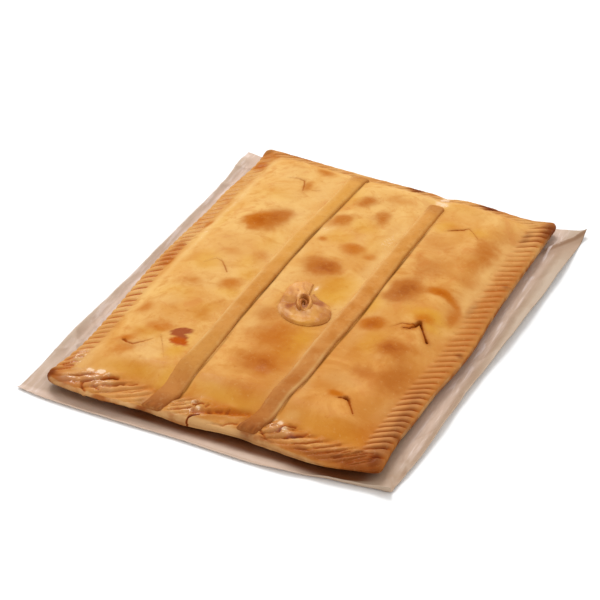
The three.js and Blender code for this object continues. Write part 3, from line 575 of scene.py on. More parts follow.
def cuts(x, y):
    """Height that the cuts take and their lips give, and how dark they are painted: shade in each gash,
    browning round it.
    """
    height, dark = np.zeros_like(x), np.zeros_like(x)
    for cut in CUTS:
        gash, lip, shade = np.zeros_like(x), np.zeros_like(x), np.zeros_like(x)
        bent = bent_way(cut)
        for far, side, half, level in stretches(cut, x, y):
            here = 1 - ease(far, half * 0.3, half * 1.3)
            gash = np.maximum(gash, here * level ** 2 * half * 2)
            lip = np.maximum(lip, swell(far - half, 1.5, 1.4) * (side * bent > 0) * half)
            shade = np.maximum(shade, here * level)
            shade = np.maximum(shade, 0.42 * level * swell(far, 0, half + 2.2))
        height += CUT_LIP * lip - CUT_DEEP * np.minimum(gash, 2.2)
        dark = np.maximum(dark, shade)
    for at_x, at_y, size, level in SPECKS:
        dark = np.maximum(dark, level * patch(x, y, at_x, at_y, size, size))
    return height, dark


def fold_lines(x, y):
    """Height that the front creases take and the pillows beside them give, and how dark their painted shade
    is.
    """
    height, dark = np.zeros_like(x), np.zeros_like(x)
    near = y < FOLDED_FRONT
    at_x, at_y = x[near], y[near]
    for line in FOLD_LINES:
        valley, pillow = np.zeros_like(at_x), np.zeros_like(at_x)
        for far, _, half, level in stretches(line, at_x, at_y):
            valley = np.maximum(valley, level * swell(far, 0, half))
            pillow = np.maximum(pillow, level * swell(far - half, 2.2, 1.6))
        height[near] += FOLD_PILLOW * pillow - FOLD_DEEP * valley
        dark[near] = np.maximum(dark[near], valley)
    return height, dark


def crack(x, y):
    """How far into the front rim's crack a point is."""
    deep = np.zeros_like(x)
    for start, end in zip(CRACK[:-1], CRACK[1:]):
        far = from_line(x, y, start, end)[0]
        deep = np.maximum(deep, 1 - ease(far, 0.2, CRACK_WIDE))
    return deep


def front_foot(x, inset, flat):
    """The foot along the front, where the folded rim lies on the panel, and the plain roll above it."""
    start, end = PLAIN_ROLL
    roll = (1 - ease(x, end, end + 6)) * ease(x, start - 2, start)
    foot_at = 20 * (1 - roll) + (12.5 + 0.33 * x) * roll
    foot = swell(inset["front"], foot_at, 3.2) * ease(inset["left"], 18, 40) * ease(inset["right"], 18, 40)
    foot = foot * (0.5 + 0.5 * roll)
    sunk = foot * (2.2 + 1.0 * grain(flat, 4, 11))
    raised = 1.8 * roll * swell(inset["front"] - foot_at, -5.5, 3.6)
    return foot, sunk, raised


def beside_strips(x, y, real_x, real_y):
    """How deep the crust sinks along the right of each strip, which also sets its painted shadow there, and
    how floury it is along the left.
    """
    gap, halo = np.zeros_like(x), np.zeros_like(x)
    deep = 1 + 0.35 * grain(np.column_stack([x * 0, y, x * 0]), 30, 15)
    for name, plan in STRIPS.items():
        off, half = real_x - strip_centre[name](real_y), strip_wide[name](real_y) / 2
        front, back = plan["front"], plan["back"]
        within = ease(real_y, front + 8, front + 30) * (1 - ease(real_y, back - 4, back))
        gap = np.maximum(gap, deep * within * strip_gap[name](real_y) * swell(off - half, 0.6, 1.25))
        gap = np.maximum(gap, 0.15 * within * swell(off + half, -0.4, 1.0))
        dusted = 0.3 * deep * within * ease(real_y, -155, -110)
        halo = np.maximum(halo, dusted * swell(off + half, -0.8, 1.5))
    return gap, halo


def top_of_crust(x, y):
    """Height of the finished crust, and what its colour needs to know."""
    flat = on_floor(x, y)
    real_x, real_y = bend(x, y)
    inset = insets(x, y)
    nearest = np.min(list(inset.values()), axis=0)
    rise = panel_rise(x, y)
    ribbed, groove, crest = crimps(x, y, flat)
    cut_height, cut = cuts(real_x, real_y)
    fold_height, crease = fold_lines(real_x, real_y)
    split = crack(real_x, real_y)
    z = crust_z(x, y) + rim_lift(nearest) * (1 - rise) + ribbed + cut_height + fold_height
    z -= CRACK_DEEP * split * (1 - rise)
    # the filling under it leaves the crust gently uneven
    z += rise * (0.9 * grain(flat, 70, 4) + 0.45 * grain(flat, 26, 5) + 0.14 * grain(flat, 9, 6))
    z += 0.2 * (1 - rise) * grain(flat, 7, 7)
    # the foot's valley is also darkened by painted shade in the material
    foot, sunk, raised = front_foot(x, inset, flat)
    z -= sunk
    z += raised
    # the gap along the right of each strip is sunk and also painted as shadow
    gap, halo = beside_strips(x, y, real_x, real_y)
    z -= GAP_DEEP * gap
    # a ring of painted contact shadow round the rosette
    from_x, from_y = real_x - ROSETTE_AT[0], real_y - ROSETTE_AT[1]
    far, bearing = np.hypot(from_x, from_y), np.degrees(np.arctan2(from_y, from_x))
    round_rosette = swell(far - rosette_edge(bearing), 0.2, 1.5)
    wrinkled = np.zeros_like(x)
    for place in GLAZED:
        wrinkled = np.maximum(wrinkled, patch(x, y, *place))
    z += wrinkled * (1.3 + 1.1 * grain(flat, 4.5, 9) + 0.5 * grain(flat, 2.2, 10))
    return z, {"groove": groove, "crest": crest, "cut": cut, "crease": crease, "split": split,
               "foot": foot, "contact_shadow": np.maximum(gap, 0.45 * round_rosette), "halo": halo,
               "shine": wrinkled}


def wall_foot_z(x, y, top):
    """Height of the crust's lower edge, which lifts off the paper."""
    inset = insets(x, y)
    z, total = np.zeros_like(x), np.zeros_like(x)
    for side in SIDES:
        half, along = (HALF_W, x) if side in ("front", "back") else (HALF_D, y)
        bow = ease(half - np.abs(along), 0, LIP_BOW)
        level = LIP_CORNER_Z + (LIP_Z[side] - LIP_CORNER_Z) * bow
        if side == "front":
            level = np.maximum(RIM_Z - 1.6 - front_wall(x), LOWEST_LIP)
        near = np.exp(-np.abs(inset[side]) / 3)
        z += near * level
        total += near
    return np.minimum(z / total, top - THINNEST_RIM)


# rings of the wall, from the top edge down and in under the pie: inset, share of the wall's height
WALL_RINGS = [(-0.5, 0.88), (-0.9, 0.7), (-0.8, 0.5), (0.1, 0.36), (-0.5, 0.22), (0.3, 0.06), (2.2, 0.0),
              (BASE_INSET, 0.0)]
ROUGH_RINGS = 6
CRIMPED_RINGS = 4
WALL_ROUGH = 0.35
AT_EDGE = 0.01
# how fine the crust's sheet is, over all and over its rims, cuts and folds
COLUMNS = 138
ROWS = 204
RIM_COLUMNS = 19
RIM_WIDE = 27.0
FINE_RIM = 25
FINE_CUTS = (4.0, 4.0, 2.2)
FINE_FOLDS = 3.0


def column_places():
    """Where the sheet's columns stand: closer together over the two side rims."""
    rim = np.linspace(-HALF_W, RIM_WIDE - HALF_W, RIM_COLUMNS)
    middle = np.linspace(RIM_WIDE - HALF_W, HALF_W - RIM_WIDE, COLUMNS + 1 - 2 * (RIM_COLUMNS - 1))
    return np.concatenate([rim[:-1], middle, -rim[::-1][1:]])


def refine(shape, chosen, cuts):
    """Divides the chosen edges of a flat sheet; chosen gets the edges' middles and directions."""
    edges = list(shape.edges)
    ends = np.array([(*e.verts[0].co, *e.verts[1].co) for e in edges]).reshape(-1, 2, 3)
    middle, along = ends.mean(axis=1), np.abs(ends[:, 1] - ends[:, 0])
    picked = chosen(middle[:, 0], middle[:, 1], along[:, 0] > along[:, 1])
    bmesh.ops.subdivide_edges(shape, edges=[edges[i] for i in np.flatnonzero(picked)], cuts=cuts,
                              use_grid_fill=True)


def near_lines(lines, x, y, reach):
    """Which points of the plain sheet come to lie near one of the lines."""
    real_x, real_y = bend(x, y)
    near = np.zeros(len(x), bool)
    for line in lines:
        for start, end in zip(line[:-1], line[1:]):
            near |= from_line(real_x, real_y, start[:2], end[:2])[0] < reach
    return near


def put_in_order(items, key):
    """Sorts a bmesh's vertices or faces, because extruding makes them in another order in each run."""
    rank = {item: i for i, item in enumerate(sorted(items, key=key))}
    items.sort(key=rank.get)
    items.index_update()


def crust_sheet():
    """A flat sheet with fine rims, whose edge goes on in rings that stand for the wall and underside."""
    shape = bmesh.new()
    bmesh.ops.create_grid(shape, x_segments=COLUMNS, y_segments=ROWS, size=1)
    columns = column_places()
    for v in shape.verts:
        v.co.x = columns[round((v.co.x + 1) / 2 * COLUMNS)]
        v.co.y *= HALF_D

    def side_rim(x):
        return HALF_W - np.abs(x) < FINE_RIM

    def end_rim(y):
        return HALF_D - np.abs(y) < FINE_RIM

    refine(shape, lambda x, y, across: ~across & side_rim(x), 2)
    refine(shape, lambda x, y, across: ~across & end_rim(y) & ~side_rim(x), 1)
    refine(shape, lambda x, y, across: across & end_rim(y) & ~side_rim(x), 1)
    for reach in FINE_CUTS:
        refine(shape, lambda x, y, across: near_lines(CUTS, x, y, reach), 1)
    refine(shape, lambda x, y, across: near_lines(FOLD_LINES + [CRACK], x, y, FINE_FOLDS), 1)
    ring = [e for e in shape.edges if e.is_boundary]
    for _ in WALL_RINGS:
        made = bmesh.ops.extrude_edge_only(shape, edges=ring)["geom"]
        new = [v for v in made if isinstance(v, bmesh.types.BMVert)]
        bmesh.ops.translate(shape, verts=new, vec=(0, 0, -1))
        ring = [g for g in made if isinstance(g, bmesh.types.BMEdge) and g.is_boundary]
    bmesh.ops.edgeloop_fill(shape, edges=ring)
    bmesh.ops.recalc_face_normals(shape, faces=shape.faces)
    put_in_order(shape.verts, lambda v: (-v.co.z, v.co.y, v.co.x))
    put_in_order(shape.faces, lambda face: sorted(v.index for v in face.verts))
    return shape


def finished(name, shape, material, node):
    """A piece made of a bmesh in frame metres, which stands for a node of the solids."""
    for face in shape.faces:
        face.smooth = True
    mesh = bpy.data.meshes.new(name)
    shape.to_mesh(mesh)
    shape.free()
    piece = bpy.data.objects.new(name, mesh)
    bpy.context.scene.collection.objects.link(piece)
    mesh.materials.append(material)
    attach(piece, "root")
    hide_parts(node)
    return piece


def places(mesh):
    """The mesh's vertices as rows of x, y and z."""
    flat = np.empty(len(mesh.vertices) * 3)
    mesh.vertices.foreach_get("co", flat)
    return flat.reshape(-1, 3)


def places_in_mm(mesh):
    """The vertices in millimetres round the middle of the pie."""
    return places(mesh) / MM - TO_MIDDLE


def put(mesh, points):
    """Sets a mesh's vertices from millimetres round the middle of the pie."""
    mesh.vertices.foreach_set("co", ((points + TO_MIDDLE) * MM).ravel())
    mesh.update()


def record(mesh, **values):
    """Keeps a value of each vertex for the material to read."""
    for name, value in values.items():
        kept = mesh.attributes.new(name, "FLOAT", "POINT")
        kept.data.foreach_set("value", np.ascontiguousarray(value, np.float32))


def browning(x, y):
    """How brown, red, yolky, pale and scorched the crust is; some pale places are painted highlights and
    some scorched ones painted shade.
    """
    flat = on_floor(x, y)
    shift_x = 3.6 * grain(flat, 14, 21) + 1.8 * grain(flat, 5, 22)
    shift_y = 3.6 * grain(flat, 14, 23) + 1.8 * grain(flat, 5, 24)

    def ragged(at_x, at_y, half_x, half_y, turn=0):
        """A place whose edge wanders, a small one less."""
        share = min(1, min(half_x, half_y) / 10)
        return patch(x + share * shift_x, y + share * shift_y, at_x, at_y, half_x, half_y, turn)

    def strongest(spots):
        level = np.zeros_like(x)
        for *spot, strength in spots:
            level = np.maximum(level, strength * ragged(*spot))
        return level

    left, red, total = np.ones_like(x), np.zeros_like(x), np.full_like(x, 0.02)
    for *spot, strength, redness in BROWNED:
        mask = strength * ragged(*spot)
        left = left * (1 - np.clip(mask, 0, 1))
        red = red + mask * redness
        total = total + mask
    return {"brown": 1 - left, "red": red / total, "yolk": strongest(YOLKY), "pale_and_highlights": strongest(PALE_AND_HIGHLIGHTS),
            "scorched_and_shaded": strongest(SCORCHED_AND_SHADED)}


# where the crust's skin flaked off: x, y, half width, half depth, turn in degrees
FLAKED = [(-67, -110, 9, 5.6, 35), (-62.5, -121.8, 8.5, 5.2, -8), (-63.3, -115.6, 5.5, 4.5, 0)]
FLAKE_HIGH = 0.5


def flaked(x, y):
    """The patch where the crust's skin flaked off, with a hard edge."""
    ragged = 0.28 * grain(on_floor(x, y), 4, 31)
    mask = np.zeros_like(x)
    for at_x, at_y, half_x, half_y, turn in FLAKED:
        c, s = math.cos(math.radians(turn)), math.sin(math.radians(turn))
        dx, dy = x - at_x, y - at_y
        far = np.hypot((dx * c + dy * s) / half_x, (dy * c - dx * s) / half_y) + ragged
        mask = np.maximum(mask, 1 - ease(far, 0.85, 1.1))
    return mask


# how much narrower the browned rim is on each side
RIM_NARROWER = {"front": 0, "right": 0, "back": 6, "left": 5}


def crust_shades(x, y, ring, share, real_x, real_y, around):
    """What colours the walls and the rims, and the painted shade on the front slope from the rim to the
    panels.
    """
    inset = insets(x, y)
    nearest = np.min(list(inset.values()), axis=0)
    wall = np.where(ring > 0, 1 - np.clip(share, 0, 1) * 0.55, 0)
    # the rounded face of the front rim is as pale as its wall, but for the right end
    face = 0.72 * (1 - ease(inset["front"], 1, 2.5 + 3 * ease(x, -45, -25))) * (1 - ease(x, 45, 85))
    right_end = ease(real_x, 80, 112) * (real_y < -150)
    rim_inset = np.min([inset[side] + RIM_NARROWER[side] for side in SIDES], axis=0)
    slope_shade = (1 - panel_rise(x, y)) * ease(nearest, 15, 24) * ease(-y, 110, 150)
    tan = 0.4 + 0.33 * x / HALF_W - 0.42 * y / HALF_D + 0.25 * grain(around, 90, 13)
    return {"wall": np.maximum(wall, face) * (1 - 0.75 * right_end), "rim": 1 - ease(rim_inset, 14, 26),
            "slope_shade": slope_shade, "tan": np.clip(tan, 0, 1)}


def crust(material):
    """The filled pie: its top, its walls and the underside that it rests on."""
    piece = finished("crust", crust_sheet(), material, "pie")
    mesh = piece.data
    x, y, ring = places(mesh).T
    ring = np.rint(-ring).astype(int)
    top, looks = top_of_crust(x, y)
    foot = wall_foot_z(x, y, top)
    ring_inset = np.array([0] + [inset for inset, share in WALL_RINGS])[ring]
    share = np.array([1] + [share for inset, share in WALL_RINGS])[ring]
    real_x, real_y = bend(x * (HALF_W - ring_inset) / HALF_W, y * (HALF_D - ring_inset) / HALF_D)
    z = np.where(ring == len(WALL_RINGS), BASE_Z, foot + (top - foot) * share)
    skin = flaked(real_x, real_y) * (ring == 0)
    z += FLAKE_HIGH * skin
    around = np.column_stack([real_x, real_y, z])
    rough = np.where((ring > 0) & (ring <= ROUGH_RINGS), WALL_ROUGH, 0) * grain(around, 6, 12)
    real_x = real_x + np.sign(x) * (HALF_W - np.abs(x) < AT_EDGE) * rough
    real_y = real_y + np.sign(y) * (HALF_D - np.abs(y) < AT_EDGE) * rough
    # each crimp stands out a little past the grooves beside it
    inset = insets(x, y)
    nearest = np.min(list(inset.values()), axis=0)
    stands_out = 0.5 * (looks["crest"] - 0.6 * looks["groove"]) * (1 - ease(nearest, 0, 5))
    stands_out = stands_out * (ring <= CRIMPED_RINGS)
    real_x = real_x + np.sign(x) * stands_out * (np.minimum(inset["left"], inset["right"]) <= nearest)
    put(mesh, np.column_stack([real_x, real_y, z]))
    baked = browning(real_x, real_y)
    # the front wall stays paler than the top, but for its right end
    baked["brown"] *= 1 - 0.6 * (ring > 0) * (real_y < -170) * (1 - ease(real_x, 70, 105))
    shades = crust_shades(x, y, ring, share, real_x, real_y, around)
    record(mesh, flake=skin, flake_low=ease(-real_y, 115, 119), **shades, **looks, **baked)
    return piece


def rolled(around, along, place):
    """A closed skin: a grid rolled into a tube by place(u, v), with its two ends shut."""
    shape = bmesh.new()
    bmesh.ops.create_grid(shape, x_segments=around, y_segments=along, size=0.5)
    flat = np.array([v.co for v in shape.verts]) + 0.5
    for v, at in zip(shape.verts, (place(flat[:, 0], flat[:, 1]) + TO_MIDDLE) * MM):
        v.co = at
    bmesh.ops.remove_doubles(shape, verts=shape.verts, dist=1e-6)
    bmesh.ops.holes_fill(shape, edges=[e for e in shape.edges if e.is_boundary])
    bmesh.ops.recalc_face_normals(shape, faces=shape.faces)
    return shape


def strip(name, material):
    """A flat band of dough laid over the crust from front to back."""
    plan = STRIPS[name]
    centre = strip_centre[name]
    seed = plan["seed"]
    long = plan["back"] - plan["front"]

    def place(u, v):
        y = plan["front"] + long * v
        mid = centre(y)
        flat = np.column_stack([mid, y, np.full_like(y, seed * 10)])
        tuck = 1 - np.clip(np.minimum(v, 1 - v) * long / STRIP_TUCK, 0, 1)
        round_end = np.sqrt(np.clip(1 - tuck ** 2, 0, 1))
        half = strip_wide[name](y) / 2 + 0.55 * grain(flat, 22, seed) + 0.25 * grain(flat, 7, seed + 5)
        half = half * (0.86 + 0.14 * round_end)
        turn = 2 * math.pi * u
        up = squared(np.sin(turn), 0.62)
        x = mid + half * squared(np.cos(turn), 0.5)
        # it lies on the crust and hangs a little past its front edge
        edge = pie_side["front"](mid)
        over = np.clip(edge + 3 - y, 0, None)
        lifted = rim_lift(np.clip(HALF_D + y, 0, 100)) * (1 - panel_rise(mid, y))
        under = crust_z(mid, np.maximum(y, edge + 1)) + lifted
        thick = STRIP_THICK * (0.55 + 0.45 * round_end) * (1 + 0.08 * grain(flat, 15, seed + 1))
        spots = np.column_stack([x, y, up * 4])
        sag = 0.28 * grain(spots, 5, seed + 2) + 0.45 * grain(spots, 16, seed + 3)
        z = under - STRIP_SINK - over * STRIP_DROP + np.where(up > 0, thick + STRIP_SINK, STRIP_SINK) * up
        z += np.where(up > 0, sag, 0)
        return np.column_stack([x, y, z])

    shape = rolled(STRIP_AROUND, round(long / STRIP_STEP), place)
    piece = finished("dough_" + name, shape, material, name)
    x, y, z = places_in_mm(piece.data).T
    front, back = plan["front"], plan["back"]
    ends = np.maximum(1 - ease(y, front + 6, front + 34), 0.5 * ease(y, back - 22, back - 4))
    browned = np.maximum(ends, plan["browned"] * (1 - ease(y, -170, -20)))
    # floury along its left edge, a painted highlight along its right edge, and a brown, pressed-down tip
    across, half = x - centre(y), strip_wide[name](y) / 2
    floury = np.maximum(0.7 * swell(across + half, 1.0, 2.3) * ease(y, -155, -110),
                        strip_edge[name](y) * swell(across - half, -1.3, 1.2))
    floury = floury * (0.75 + 0.6 * grain(np.column_stack([x, y, z]), 12, 54)) * (1 - ends)
    tip = 1 - ease(y, front + 4, front + 22)
    pressed = np.abs(np.sin(across * 1.1)) ** 6 * (1 - ease(y, front + 3, front + 9))
    record(piece.data, brown=browned, light=strip_light[name](y) * (1 - ends), floury=floury,
           end=np.clip(0.25 * tip + 0.7 * pressed, 0, 1))
    return piece


# the rosette's coil is a standing ribbon, turned to stand square to the camera, and its wrap a low one
# round it
COIL_AT = (7.6, -39.4)
COIL_TURN = math.radians(-CAMERA_TURN)
COIL_FROM = -110
COIL_TURNS = 1.95
COIL_HALF = (4.7, 8.3)
COIL_THICK = 2.8
COIL_HIGH = 9.0
# the height of the crust where the coil stands
coil_foot = float(crust_z(*np.array([COIL_AT]).T)[0])
# the wrap starts and ends at these bearings, so it stops short of a full turn
WRAP_FROM = 101
WRAP_TO = WRAP_FROM + 342
WRAP_HALF = (0.3, 1.6)
# share of the way out and height, in front and behind
WRAP_FRONT = [(0, 5.2), (0.2, 5.2), (0.32, 5.3), (0.4, 4.8), (0.55, 3.3), (0.78, 2.7), (0.93, 1.9), (1, 0.2)]
WRAP_BACK = [(0, 5.2), (0.2, 5.6), (0.32, 6.8), (0.45, 6.9), (0.62, 6.5), (0.85, 5.4), (0.95, 3.6), (1, 0.6)]

# lines of painted shade and painted highlight over the rosette's folds, which also sink and raise the wrap a
# little: x, y, width, strength
ROSETTE_SHADE_LINES = [
    [(-4, -26, 1.8, 0.8), (-3.2, -32, 2, 0.9), (-0.8, -38, 1.8, 0.7)],
    [(3, -15, 1.6, 0.8), (5, -21, 2, 0.9)],
    [(8, -22, 5, 0.6), (14, -27, 6, 0.8), (19, -31, 5, 0.6)],
    [(-14, -34, 4, 0.5), (-8, -40, 5, 0.6), (-3, -43, 4, 0.5)],
    [(-12, -24, 4, 0.3), (-7, -31, 5, 0.6), (-5, -36, 4, 0.6)],
    [(1, -45, 4, 0.5), (7, -47, 5, 0.8), (14, -49, 4, 0.6)],
    [(-6, -12, 2, 0.3), (-1, -22, 2, 0.4)],
]
ROSETTE_HIGHLIGHTS = [
    [(-1.2, -28, 1.8, 0.9), (-0.6, -33, 2, 0.8), (1.8, -37, 1.6, 0.5)],
    [(15, -46.5, 2.4, 1.0), (14, -48, 2, 0.8)],
    [(-13, -44, 3.5, 0.6), (-8, -53, 4, 0.6)],
    [(-5, -50, 3, 0.4), (3, -53, 3, 0.4)],
    [(-12, -16, 4, 0.5), (-10, -22, 4, 0.4)],
    [(17, -36, 3, 0.5), (20, -40, 3, 0.4)],
]


def strokes(lines, x, y):
    """How strongly a point lies under one of a set of soft lines."""
    level = np.zeros_like(x)
    for line in lines:
        for far, _, half, strength in stretches(line, x, y):
            level = np.maximum(level, strength * swell(far, 0, half))
    return level


def bearing_gap(degrees, towards):
    """How far a bearing is from another, in degrees, either way."""
    return np.abs((degrees - towards + 180) % 360 - 180)


def facing(degrees, towards, reach):
    """1 at a bearing, fading away from it."""
    return swell(bearing_gap(degrees, towards), 0, reach)


def about_coil(angle, half_across, half_along):
    """A place on an oval round the middle of the coil."""
    across, along = half_across * np.cos(angle - COIL_TURN), half_along * np.sin(angle - COIL_TURN)
    return (COIL_AT[0] + across * math.cos(COIL_TURN) - along * math.sin(COIL_TURN),
            COIL_AT[1] + across * math.sin(COIL_TURN) + along * math.cos(COIL_TURN))


def coil(u, v):
    """The ribbon of dough that stands rolled up in the middle of the rosette."""
    angle = math.radians(COIL_FROM) + 2 * math.pi * COIL_TURNS * v + COIL_TURN
    grown = 0.24 + 0.76 * ease(v, 0.0, 0.8)
    turn = 2 * math.pi * u
    up = np.sin(turn)
    raised = np.clip(up, 0, 1)
    thick = COIL_THICK / 2 * (0.75 + 0.25 * ease(v, 0, 0.4))
    high = COIL_HIGH * (0.68 + 0.32 * ease(v, 0.1, 0.6)) - 4.0 * facing(np.degrees(angle), 295, 48)
    off = np.cos(turn) * thick * (1 - 0.2 * raised) + 1.0 * raised * v
    off = off + 1.2 * (1 - raised) * np.clip(np.cos(turn), 0, 1)
    x, y = about_coil(angle, COIL_HALF[0] * grown + off, COIL_HALF[1] * grown + off)
    z = coil_foot + np.where(up > 0, 3.0 + (high - 3.0) * raised ** 0.5, 3.0 + 4.0 * up)
    return np.column_stack([x, y, z + 0.4 * grain(np.column_stack([x, y, up]), 4, 52)])


def wrap(u, v):
    """The low petal and skirt of dough round the coil."""
    degrees = WRAP_FROM + (WRAP_TO - WRAP_FROM) * v
    angle = np.radians(degrees)
    out = rosette_edge((degrees + 180) % 360 - 180)
    out_x, out_y = ROSETTE_AT[0] + out * np.cos(angle), ROSETTE_AT[1] + out * np.sin(angle)
    in_x, in_y = about_coil(angle, *WRAP_HALF)
    turn = 2 * math.pi * u
    s = 0.5 - 0.5 * squared(np.cos(turn), 0.75)
    x, y = in_x + (out_x - in_x) * s, in_y + (out_y - in_y) * s
    behind = np.exp(-(bearing_gap(degrees, 135) / 52) ** 4)
    dome = np.interp(s, *np.array(WRAP_FRONT).T) * (1 - behind)
    dome = dome + np.interp(s, *np.array(WRAP_BACK).T) * behind
    # the petal's edge stands over the skirt on the left, and a fold runs out from the coil
    dome = dome - 3.0 * facing(degrees, 194, 14) * ease(s, 0.2, 0.35) * (1 - 0.7 * s)
    dome = dome + 1.2 * facing(degrees, 238, 22) * swell(s, 0.4, 0.13)
    dome = dome - 1.0 * facing(degrees, 262, 14) * swell(s, 0.66, 0.15)
    dome = dome * (1 - 0.5 * facing(degrees, 40, 22) * (1 - ease(s, 0.45, 0.78)) * ease(s, 0.15, 0.3))
    dome = dome * (0.5 + 0.5 * ease(degrees, WRAP_FROM, WRAP_FROM + 16))
    spots = on_floor(x, y)
    dome = dome + 0.6 * grain(spots, 6, 51) + 0.35 * grain(spots, 2.8, 53)
    dome = dome - 0.9 * strokes(ROSETTE_SHADE_LINES, x, y) + 0.7 * strokes(ROSETTE_HIGHLIGHTS, x, y)
    z = crust_z(x, y) + np.where(np.sin(turn) > 0, np.maximum(dome, 0.3), -0.8)
    return np.column_stack([x, y, z])


def rosette_shades(x, y, high):
    """What colours the rosette, with painted shade in its hollow and valleys and painted highlight on its
    lips; high is the height over the coil's foot.
    """
    dx, dy = x - COIL_AT[0], y - COIL_AT[1]
    turned_x = dx * math.cos(COIL_TURN) + dy * math.sin(COIL_TURN)
    turned_y = dy * math.cos(COIL_TURN) - dx * math.sin(COIL_TURN)
    # 1 on the coil's outside
    far = np.hypot(turned_x / COIL_HALF[0], turned_y / COIL_HALF[1])
    bearing = np.degrees(np.arctan2(dy, dx))
    back_of_coil = facing(bearing, 112, 34)
    # browning, and painted shade in the valleys round the coil, inside it, along the dark lines and at the
    # skirt's front edge
    toasted_and_shaded = [
        facing(bearing, 48, 34) * (1 - ease(far, 3, 4)) * ease(far, 1.0, 1.4),
        1.2 * facing(bearing, 198, 28) * ease(far, 1.1, 1.4) * (1 - ease(far, 2.8, 4)),
        0.5 * ease(far, 2.6, 3.2) * (y < ROSETTE_AT[1]),
        0.75 * (1 - ease(far, 0.75, 0.95)) * (1 - 0.5 * ease(high, 7, 9)),
        strokes(ROSETTE_SHADE_LINES, x, y) * (1 - ease(high, 7, 9)),
        # the back of the coil and the outside of its front, in painted shade
        0.9 * back_of_coil * ease(high, 4, 6) * (1 - ease(far, 1.3, 1.6)),
        0.7 * facing(bearing, 285, 40) * (1 - ease(far, 1.35, 1.6)) * ease(far, 0.9, 1.05)
        * (1 - ease(high, 4, 5.5)),
    ]
    # painted shade in the coil's hollow and in the gap round it, darkest on the left
    deep = [
        0.8 * (1 - ease(far, 0.3, 0.75)) * (1 - ease(high, 5, 8)),
        0.6 * swell(far, 1.36, 0.12) * facing(bearing, 170, 45),
        0.15 * swell(far, 1.4, 0.14) * (1 - ease(high, 4, 7)),
    ]
    # painted highlight on the petal's upper left and on the coil's top edges, except at its back
    peach_highlight = np.maximum(facing(bearing, 135, 45) * ease(far, 1.1, 1.4), ease(high, 6, 8) * (1 - back_of_coil))
    return {"deep": np.max(deep, axis=0), "toasted_and_shaded": np.max(toasted_and_shaded, axis=0), "peach_highlight": peach_highlight,
            "yolky": ease(far, 1.8, 2.6) * facing(bearing, 290, 60), "light": strokes(ROSETTE_HIGHLIGHTS, x, y)}


def rosette(material):
    """Dough rolled into a rose: a coil that stands in a low outer wrap."""
    shape = rolled(20, 130, coil)
    skirt = rolled(48, 180, wrap)
    mesh = bpy.data.meshes.new("skirt")
    skirt.to_mesh(mesh)
    skirt.free()
    shape.from_mesh(mesh)
    bpy.data.meshes.remove(mesh)
    piece = finished("dough_rose", shape, material, "rosette")
    x, y, z = places_in_mm(piece.data).T
    record(piece.data, **rosette_shades(x, y, z - coil_foot))
    return piece


# baking paper: its plain rectangle, its real sides and its turned-up lips
PAPER_X = (-164, 166)
PAPER_Y = (-203, 200)
PAPER_SIDES = {
    "front": [(-164, -203.5), (-140, -206.5), (-109, -207.5), (-59, -207.5), (-12, -207), (49, -208.5),
              (81, -206.8), (101, -203.7), (123, -201), (151, -197.5), (166, -197)],
    "back": [(-165, 200), (-129, 194), (1, 192), (131, 195), (166, 199)],
    "left": [(-203, -162), (-153, -160.5), (-63, -158.5), (57, -158), (147, -158.5), (200, -164.5)],
    "right": [(-198, 152), (-153, 156), (-63, 158), (27, 163.5), (127, 166.5), (200, 166)],
}
LEFT_LIP = {"crease": -150, "run": 11, "high": 4.5, "front": (-188, -113), "back": (170, 200)}
RIGHT_LIP = {"crease": 149, "run": 13, "high": 5.5, "back": (132, 182)}
FRONT_LIP = {"run": 4, "low": 1.4, "high": 7.8, "rise": (30, 150)}
BACK_CORNER = {"high": 3, "x": (120, 165), "y": (183, 197)}
PAPER_THICK = 0.3
PAPER_UNDER_PIE = 0.9
PAPER_COLUMNS = 150
PAPER_ROWS = 200
paper_side = lines_of(PAPER_SIDES)
# how far in front of the crust the paper is dark with fat and painted shadow
SOAKED_REACH = [(-141.5, -2), (-122, -1.5), (-88, 1), (-52, 1), (-12, 6), (30, 7), (73, 3.5), (118, 1.5),
                (141.5, 0)]
soaked_reach = through(SOAKED_REACH)

# the fold across the right back corner
CORNER_FOLD = ((166, 199), (143, 161))
# creases in the paper: from, to, width, height
CREASES = [
    ((-150, -185), (-150, 175), 1.6, 0.9), ((149, -180), (149, 150), 1.8, -0.6),
    ((-158, -120), (-141, -150), 2.2, 1.4), ((-157, -100), (-143, -116), 1.8, 1.2),
    ((-160, -150), (-142, -128), 1.6, 1.0), ((-160, 130), (-143, 150), 1.6, 1.2),
    ((-160, 165), (-140, 178), 2.0, 1.5), ((144, -150), (158, -178), 2.2, 1.3),
    ((146, -178), (156, -196), 2.0, 1.6), ((146, 60), (160, 44), 2.0, 1.0),
    ((150, 110), (166, 124), 2.0, 0.9), ((146, -40), (158, -66), 2.0, 0.9),
    (*CORNER_FOLD, 2.6, 3.4), ((145, -130), (153, -112), 1.6, 1.2), ((148, -20), (158, -2), 1.6, 1.0),
    ((-155, -90), (-144, -104), 1.4, 1.3), ((-156, -128), (-143, -134), 1.4, 1.2),
]


